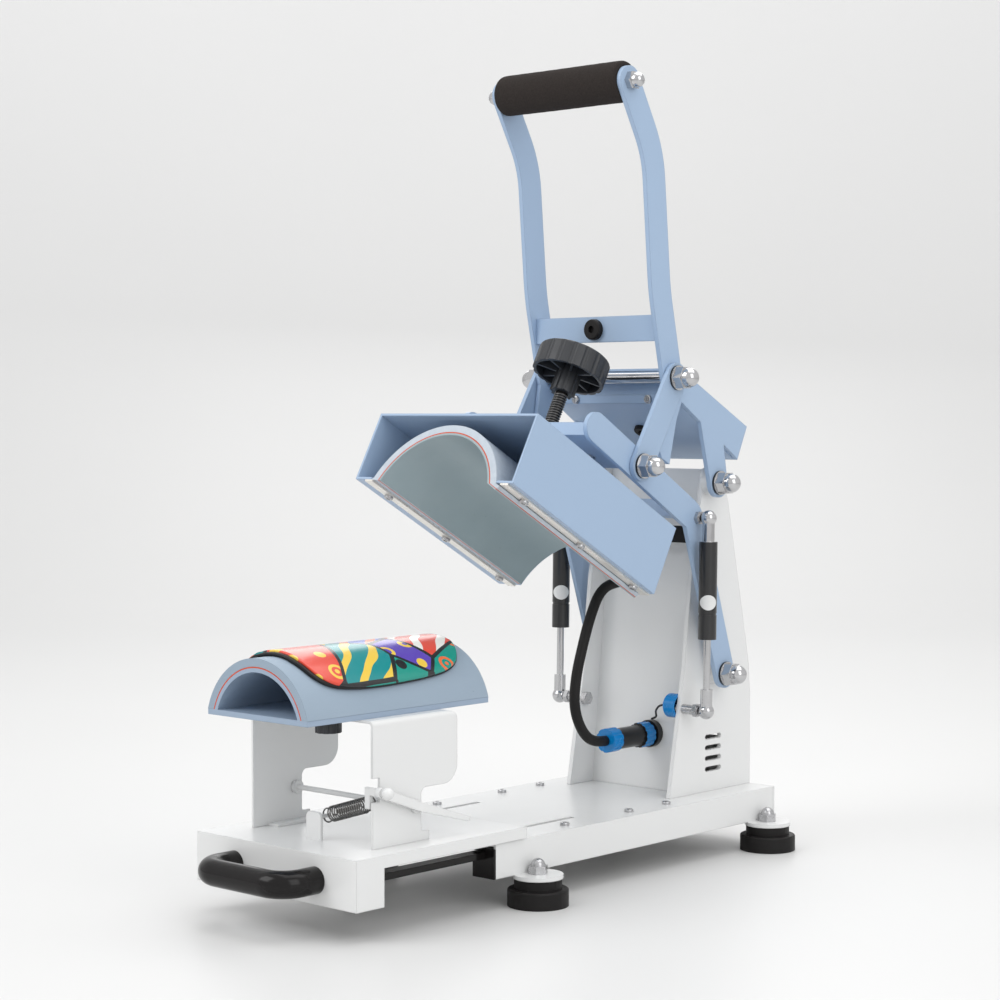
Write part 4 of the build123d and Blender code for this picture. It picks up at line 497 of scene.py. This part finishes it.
def tube_mesh(points, radius, sides, wave=None):
    """A closed round tube along points, without twist. Its radius is a wave along it, where one is given."""
    points = [Vector(p) for p in points]
    tangents = []
    for i in range(len(points)):
        ahead = points[min(i + 1, len(points) - 1)]
        behind = points[max(i - 1, 0)]
        tangents.append((ahead - behind).normalized())
    across = tangents[0].orthogonal().normalized()
    vertices = []
    for i, (point, tangent) in enumerate(zip(points, tangents)):
        across = (across - tangent * across.dot(tangent)).normalized()
        up = tangent.cross(across)
        r = radius if wave is None else radius * wave(i / (len(points) - 1))
        for k in range(sides):
            angle = 2 * math.pi * k / sides
            vertices.append(point + (across * math.cos(angle) + up * math.sin(angle)) * r)
    faces = []
    for i in range(len(points) - 1):
        for k in range(sides):
            a = i * sides + k
            b = i * sides + (k + 1) % sides
            faces.append((a, b, b + sides, a + sides))
    faces.append(tuple(range(sides)))
    last = (len(points) - 1) * sides
    faces.append(tuple(range(last, last + sides)))
    return vertices, faces


def opened_point(x, y, z):
    """A point of the head from its closed pose to the open one."""
    dy = y - ARM_PIVOT[0]
    dz = z - ARM_PIVOT[1]
    c = math.cos(-ARM_TRAVEL)
    s = math.sin(-ARM_TRAVEL)
    return Vector((x, ARM_PIVOT[0] + dy * c - dz * s, ARM_PIVOT[1] + dy * s + dz * c))


# Lines

def spline_points(controls, name):
    """Points along a smooth curve with these control points."""
    curve = bpy.data.curves.new(name, "CURVE")
    curve.dimensions = "3D"
    curve.resolution_u = 12
    spline = curve.splines.new("NURBS")
    spline.points.add(len(controls) - 1)
    for point, control in zip(spline.points, controls):
        point.co = (*control, 1.0)
    spline.order_u = 3
    spline.use_endpoint_u = True
    holder = bpy.data.objects.new(name, curve)
    bpy.context.scene.collection.objects.link(holder)
    bpy.context.view_layer.update()
    mesh = bpy.data.meshes.new_from_object(holder)
    points = [v.co.copy() for v in mesh.vertices]
    bpy.data.meshes.remove(mesh)
    bpy.data.objects.remove(holder)
    bpy.data.curves.remove(curve)
    return points


def cut_line(points, length):
    """Split a line at a length along it; both parts hold the point where it is cut."""
    run = 0.0
    for i in range(1, len(points)):
        step = (points[i] - points[i - 1]).length
        if run + step >= length:
            middle = points[i - 1].lerp(points[i], (length - run) / step)
            return points[:i] + [middle], [middle] + points[i:]
        run += step
    return points, []


# Heater cable, from the gland on the head to its plug

CABLE_DIAMETER = 0.0086
CABLE_GAP = 0.00015
CABLE_ROUTE = (
    (0.0360, 0.1520, 0.2300), (0.0215, 0.1320, 0.2285), (0.0125, 0.1175, 0.2225), (0.0120, 0.1040, 0.1990),
    (0.0112, 0.0955, 0.1750), (0.0105, 0.0885, 0.1520), (0.0100, 0.0865, 0.1270), (0.0100, 0.0970, 0.1060),
    (0.0100, 0.1120, 0.0960),
)
CABLE_PLUG_END = (0.010, 0.12685, 0.096)
GLAND_X = 0.040
GLAND_Z = 0.204
GLAND_LENGTH = 0.014
GLAND_END = BOX_REAR + GLAND_LENGTH + CABLE_GAP
STRAIGHT_RUN = 0.02385
NECK_LENGTH = 0.022
RELIEF_LENGTH = 0.020
RELIEF_RADII = (0.0066, 0.0049)
RELIEF_RING = 0.0005
RELIEF_RINGS = 7
LEAD_BEND = ((0.010, 0.0865, 0.130), (0.036, 0.150, 0.238))


def cable_route():
    start = opened_point(GLAND_X, GLAND_END, GLAND_Z)
    straight = opened_point(GLAND_X, GLAND_END + STRAIGHT_RUN, GLAND_Z)
    middle = [Vector(point) for point in CABLE_ROUTE]
    return spline_points([start, straight, *middle, Vector(CABLE_PLUG_END)], "cable_route")


def cable_piece(name, line, body_a, body_b, start, end):
    """A part of the cable: a black rubber tube along its line, shown in place of the CAD cable."""
    piece = new_piece(name, *tube_mesh(line, CABLE_DIAMETER / 2, 20))
    dress(piece, MATERIALS["black_rubber"])
    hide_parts("heater_cable")
    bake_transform(piece)
    return piece


def relief_profile(share):
    """Radius of the bend relief along its length: a taper with rings that stand out."""
    thick, thin = RELIEF_RADII
    ring = RELIEF_RING if math.sin(share * 2 * RELIEF_RINGS * math.pi) > 0 else 0.0
    return thick - (thick - thin) * share + ring * (1 - share)


def make_cable():
    """The head slides on the arm and the arm swings on the base; the cable is made as two parts, a neck at
    the gland and a lead to the plug, with a bend relief at the gland.
    """
    line = cable_route()
    neck_line, lead_line = cut_line(line, NECK_LENGTH)
    cut = neck_line[-1]
    near_gland = neck_line[1]
    cable_piece("heater_neck", neck_line, "arm", "head", cut, near_gland)
    lead = cable_piece("heater_lead", lead_line, "base", "arm", *LEAD_BEND)
    relief_line = spline_points(cut_line(line, RELIEF_LENGTH)[0], "relief_route")
    relief = new_piece("bend_relief", *tube_mesh(relief_line, 1.0, 24, relief_profile))
    dress(relief, MATERIALS["black_rubber"])
    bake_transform(relief)


make_cable()


# Spring of the lock lever, hooked over a pin at each end

SPRING_PINS = ((0.0085, -0.187, 0.0755), (0.0575, -0.187, 0.0905))
SPRING_RADIUS = 0.0054
SPRING_WIRE = 0.0012
SPRING_TURNS = 15.5
SPRING_LOOP = 0.005
SPRING_SEAT = 0.0003
SPRING_BOW = 0.0012
PIN_RADIUS = 0.0015
LOOP_DEGREES = 300
TURN_STEPS = 24


def end_loop(centre, outward, heading):
    """The open loop round a pin, from the axis of the coil."""
    points = []
    for i in range(TURN_STEPS + 1):
        angle = math.radians(LOOP_DEGREES * i / TURN_STEPS)
        reach = outward * (SPRING_LOOP * math.cos(angle))
        points.append(centre - reach + heading * (SPRING_LOOP * math.sin(angle)))
    return points


def step_across(a, b, side):
    """The short run of wire between the axis and the coil, bowed to one side."""
    steps = TURN_STEPS // 4
    points = []
    for i in range(1, steps):
        share = i / steps
        points.append(a.lerp(b, share) + side * SPRING_BOW * math.sin(math.pi * share))
    return points


def spring_line():
    """The middle of the wire: a loop, the coil and the other loop."""
    start_pin, end_pin = [Vector(pin) for pin in SPRING_PINS]
    axis = (end_pin - start_pin).normalized()
    across = Vector((0, 1, 0))
    up = axis.cross(across)
    inset = SPRING_LOOP - SPRING_WIRE / 2 - PIN_RADIUS - SPRING_SEAT + SPRING_LOOP
    start = start_pin + axis * inset
    length = (end_pin - start_pin).length - 2 * inset
    end = start + axis * length
    pitch = length / SPRING_TURNS

    def coil_point(turn):
        angle = 2 * math.pi * turn
        out = across * math.cos(angle) + up * math.sin(angle)
        return start + axis * (pitch * turn) + out * SPRING_RADIUS

    angle = 2 * math.pi * SPRING_TURNS
    end_side = up * math.cos(angle) - across * math.sin(angle)
    points = end_loop(start - axis * SPRING_LOOP, axis * -1, up)[::-1]
    points += step_across(start, coil_point(0), up * -1)
    points += [coil_point(i / TURN_STEPS) for i in range(int(SPRING_TURNS * TURN_STEPS) + 1)]
    points += step_across(coil_point(SPRING_TURNS), end, end_side)
    points += end_loop(end + axis * SPRING_LOOP, axis, end_side * -1)
    return points


def make_spring():
    spring = new_piece("return_spring", *tube_mesh(spring_line(), SPRING_WIRE / 2, 8))
    dress(spring, MATERIALS["steel_spring"])
    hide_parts("lever_spring")
    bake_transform(spring)


make_spring()


# Foam grip, a sleeve with rounded ends that is slightly uneven

GRIP_AXIS = (0.086, 0.626)
GRIP_HALF = 0.0636
GRIP_BORE_RADIUS = 0.0063
GRIP_RADIUS = 0.0163
GRIP_CORNER = 0.0032
GRIP_WAVE = 0.0001
GRIP_RINGS = 40
GRIP_SIDES = 56


def grip_profile():
    """Places along the sleeve and its radius there, from the bore round the outside to the bore."""
    rings = [(-GRIP_HALF, GRIP_BORE_RADIUS)]
    for degrees in range(0, 91, 15):
        angle = math.radians(degrees)
        x = -GRIP_HALF + GRIP_CORNER * (1 - math.cos(angle))
        rings.append((x, GRIP_RADIUS - GRIP_CORNER * (1 - math.sin(angle))))
    end = list(rings)
    for i in range(1, GRIP_RINGS):
        x = -GRIP_HALF + GRIP_CORNER + 2 * (GRIP_HALF - GRIP_CORNER) * i / GRIP_RINGS
        rings.append((x, GRIP_RADIUS + GRIP_WAVE * math.sin(9 * math.pi * i / GRIP_RINGS) ** 2))
    return rings + [(-x, radius) for x, radius in reversed(end)]


def grip_mesh():
    y, z = GRIP_AXIS
    rings = grip_profile()
    vertices = []
    for x, radius in rings:
        outside = radius > 2 * GRIP_BORE_RADIUS
        for k in range(GRIP_SIDES):
            angle = 2 * math.pi * k / GRIP_SIDES
            r = radius * (1 + 0.003 * math.sin(3 * angle + 70 * x)) if outside else radius
            vertices.append((x, y + r * math.cos(angle), z + r * math.sin(angle)))
    faces = []
    for i in range(len(rings)):
        after = (i + 1) % len(rings)
        for k in range(GRIP_SIDES):
            ahead = (k + 1) % GRIP_SIDES
            near = i * GRIP_SIDES
            far = after * GRIP_SIDES
            faces.append((near + k, near + ahead, far + ahead, far + k))
    return vertices, faces


def make_grip():
    grip = new_piece("grip_sleeve", *grip_mesh())
    dress(grip, MATERIALS["foam"])
    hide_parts("foam_grip")
    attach(grip, "lever")


make_grip()


# Shin guard on the lower platen: foam liner with a bound edge, and the printed shell

GUARD_FRONT = -0.230
GUARD_REAR = -0.066
GUARD_LENGTH = GUARD_REAR - GUARD_FRONT
GUARD_LOW = ARCH_Z + 0.0317
GUARD_RADIUS = 0.057
GUARD_MOST_RISE = 0.0235
GUARD_STEPS = 72
LINER_RADII = (0.0549, 0.0577)
SHELL_RADII = (0.0564, 0.0592)

# How far each layer stays inside the outline: at the front, on each side and at the rear
LINER_INSETS = (0.0, 0.0, 0.0)
SHELL_INSETS = (0.0030, 0.0007, 0.0010)

# Lower edge of the guard: places along it and their rise
GUARD_EDGE = (
    (0.0000, 0.0230), (0.0003, 0.0200), (0.0036, 0.0118), (0.0110, 0.0059), (0.0220, 0.0023),
    (0.0410, 0.0003), (0.0610, 0.0000), (0.0850, 0.0006), (0.1090, 0.0019), (0.1310, 0.0044),
    (0.1450, 0.0085), (0.1540, 0.0140), (0.1610, 0.0200), (0.1640, 0.0230),
)


def curve_point(a, b, c, d, t):
    """A place on the smooth line from b to c, with a before them and d after them."""
    return tuple(
        0.5 * (2 * q + (r - p) * t + (2 * p - 5 * q + 4 * r - s) * t * t + (3 * q - p - 3 * r + s) * t ** 3)
        for p, q, r, s in zip(a, b, c, d)
    )


def smooth_line(points, steps=10):
    """Points along a smooth line through the given ones."""
    padded = [points[0], *points, points[-1]]
    found = []
    for a, b, c, d in zip(padded, padded[1:], padded[2:], padded[3:]):
        found += [curve_point(a, b, c, d, i / steps) for i in range(steps)]
    return found + [points[-1]]


GUARD_LINE = smooth_line(GUARD_EDGE)


def edge_angle(along):
    """How far round the guard reaches on each side at a place along it."""
    rise = GUARD_LINE[-1][1]
    for (a, low), (b, high) in zip(GUARD_LINE, GUARD_LINE[1:]):
        if a <= along <= b and b > a:
            rise = low + (high - low) * (along - a) / (b - a)
            break
    return math.acos((GUARD_LOW + min(max(0.0, rise), GUARD_MOST_RISE) - ARCH_Z) / GUARD_RADIUS)


def guard_places(insets):
    """The grid of one layer, as angles round the platen and places along it, closer near the rim."""
    front, side, rear = insets
    places = []
    for i in range(GUARD_STEPS + 1):
        share = math.sin(math.pi / 2 * (2 * i / GUARD_STEPS - 1))
        for k in range(GUARD_STEPS + 1):
            reach = 0.5 - 0.5 * math.cos(math.pi * k / GUARD_STEPS)
            place = front + (GUARD_LENGTH - front - rear) * reach
            angle = (edge_angle(GUARD_LENGTH * reach) - side / GUARD_RADIUS) * share
            places.append((angle, GUARD_FRONT + place))
    return places


def rim_tree(places):
    """The rim of a grid, laid flat, for finding how near a place is to it."""
    width = GUARD_STEPS + 1
    ends = (0, GUARD_STEPS)
    rim = [place for k, place in enumerate(places) if k // width in ends or k % width in ends]
    tree = KDTree(len(rim))
    for i, (angle, y) in enumerate(rim):
        tree.insert((angle * GUARD_RADIUS, y, 0), i)
    tree.balance()
    return tree


def guard_mesh(insets, radii):
    """A curved panel with a rounded edge, between two radii round the platen axis."""
    low, high = radii
    middle = (low + high) / 2
    half = (high - low) / 2
    places = guard_places(insets)
    tree = rim_tree(places)
    top = []
    bottom = []
    for angle, y in places:
        distance = tree.find((angle * GUARD_RADIUS, y, 0))[2]
        share = min(1.0, distance / (1.4 * half))
        thick = half * math.sqrt(max(0.0, 1 - (1 - share) ** 2))
        for radius, found in ((middle + thick, top), (middle - thick, bottom)):
            found.append((radius * math.sin(angle), y, ARCH_Z + radius * math.cos(angle)))
    shift = len(top)
    width = GUARD_STEPS + 1
    faces = []
    for i in range(GUARD_STEPS):
        for k in range(GUARD_STEPS):
            a = i * width + k
            faces.append((a, a + 1, a + 1 + width, a + width))
            faces.append((a + shift, a + width + shift, a + 1 + width + shift, a + 1 + shift))
    return top + bottom, faces


def guard_piece(name, insets, radii, slot):
    """A layer of the guard, closed at its rim and laid out flat for its print."""
    piece = new_piece(name, *guard_mesh(insets, radii))
    turn_faces_out(piece.data, merge=0.00002)
    flat = piece.data.uv_layers.new(name="flat")
    for loop in piece.data.loops:
        x, y, z = piece.data.vertices[loop.vertex_index].co
        flat.data[loop.index].uv = (math.atan2(x, z - ARCH_Z) * GUARD_RADIUS + 0.21, y + 0.37)
    dress(piece, MATERIALS[slot])
    return piece


def make_guard():
    liner = guard_piece("guard_liner", LINER_INSETS, LINER_RADII, "guard_foam")
    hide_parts("guard_foam")
    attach(liner, "guard")
    shell = guard_piece("guard_print_shell", SHELL_INSETS, SHELL_RADII, "shell_print")
    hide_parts("guard_shell")
    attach(shell, "guard")


make_guard()


# Thread of the pressure screw

SCREW_Y = -0.013
THREAD_PITCH = 0.0022
THREAD_START = BOX_TOP + 0.016
THREAD_END = BOX_TOP + 0.0725
THREAD_STEPS = 20

# The ridge in section, as a radius and a height
THREAD_SECTION = ((0.0049, -0.0009), (0.0058, 0.0), (0.0049, 0.0009))


def thread_mesh():
    """A helical ridge round the screw below the knob."""
    turns = (THREAD_END - THREAD_START) / THREAD_PITCH
    count = int(turns * THREAD_STEPS)
    vertices = []
    for i in range(count + 1):
        angle = 2 * math.pi * i / THREAD_STEPS
        z = THREAD_START + THREAD_PITCH * i / THREAD_STEPS
        for radius, rise in THREAD_SECTION:
            y = SCREW_Y + radius * math.sin(angle)
            vertices.append(opened_point(radius * math.cos(angle), y, z + rise))
    faces = []
    for i in range(count):
        a = 3 * i
        faces += [(a, a + 3, a + 4, a + 1), (a + 1, a + 4, a + 5, a + 2), (a + 2, a + 5, a + 3, a)]
    faces.append((0, 1, 2))
    faces.append((3 * count, 3 * count + 2, 3 * count + 1))
    return vertices, faces


def make_thread():
    thread = new_piece("screw_thread", *thread_mesh())
    dress(thread, MATERIALS["thread"])
    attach(thread, "knob")


make_thread()


# Floor, backdrop and lights

FLOOR_HALF_WIDTH = 8.0
FLOOR_FRONT = -6.0
WALL_PLACE = 3.2
WALL_TOP = 4.5
SWEEP_RADIUS = 1.2
SWEEP_STEPS = 12

# Height at which the backdrop reaches its full painted brightness: the sheet's colour is painted darker on
# the floor and paler up the wall
PAINTED_LIGHT_HEIGHT = 1.5


def floor_material():
    """Pale studio floor with painted light: its colour is darker on the floor and grows paler up the
    backdrop.
    """
    s = Shader("studio_floor", 0.42, specular=0.2)
    cloud = s.noise(1.5, 2.0)
    near = s.mix(cloud, (0.670, 0.670, 0.667), (0.690, 0.690, 0.687))
    far = s.mix(cloud, (0.92, 0.92, 0.92), (0.94, 0.94, 0.94))
    # Painted light: the colour goes from the darker floor tone to the paler wall tone with height
    s.color(s.mix(s.span(s.axes()[2], 0.0, 1.0, 0.0, PAINTED_LIGHT_HEIGHT), near, far))
    s.bump(s.noise(60.0, 2.0), 0.00002, 0.2)
    return s.material


def make_floor():
    """Floor and backdrop in one sheet, square to the camera."""
    bend = WALL_PLACE - SWEEP_RADIUS
    profile = [(FLOOR_FRONT, 0.0), (bend, 0.0)]
    for i in range(1, SWEEP_STEPS + 1):
        angle = math.radians(90 * i / SWEEP_STEPS)
        along = bend + SWEEP_RADIUS * math.sin(angle)
        profile.append((along, SWEEP_RADIUS - SWEEP_RADIUS * math.cos(angle)))
    profile.append((WALL_PLACE, WALL_TOP))
    turn = Matrix.Rotation(YAW, 4, "Z")
    vertices = []
    for along, height in profile:
        for side in (-FLOOR_HALF_WIDTH, FLOOR_HALF_WIDTH):
            vertices.append(turn @ Vector((side, along, height)))
    faces = [(2 * i, 2 * i + 1, 2 * i + 3, 2 * i + 2) for i in range(len(profile) - 1)]
    sheet = new_piece("studio_sweep", vertices, faces)
    sheet.data.materials.append(floor_material())


def area_light(name, location, target, size, power):
    lamp = bpy.data.lights.new(name, "AREA")
    lamp.shape = "RECTANGLE"
    lamp.size = size[0]
    lamp.size_y = size[1]
    lamp.energy = power
    holder = bpy.data.objects.new(name, lamp)
    bpy.context.scene.collection.objects.link(holder)
    holder.location = location
    direction = Vector(target) - Vector(location)
    holder.rotation_euler = direction.to_track_quat("-Z", "Y").to_euler()


def make_world():
    world = bpy.data.worlds.new("studio_world")
    world.use_nodes = True
    background = world.node_tree.nodes["Background"]
    background.inputs["Color"].default_value = (0.985, 0.985, 0.985, 1)
    background.inputs["Strength"].default_value = 0.82
    bpy.context.scene.world = world


make_floor()
area_light("key_light", (-0.9, -1.9, 1.9), (0, 0, 0.3), (1.5, 1.5), 22.5)
area_light("right_light", (2.1, -0.5, 1.2), (0, 0, 0.3), (1.2, 1.8), 11.5)
area_light("top_light", (0.2, 0.5, 2.4), (0, 0, 0.2), (2.2, 2.2), 22.5)
area_light("back_light", (-1.6, 1.9, 1.6), (0, 0, 0.4), (1.6, 1.6), 12)
make_world()
bpy.context.scene.view_settings.view_transform = "Standard"
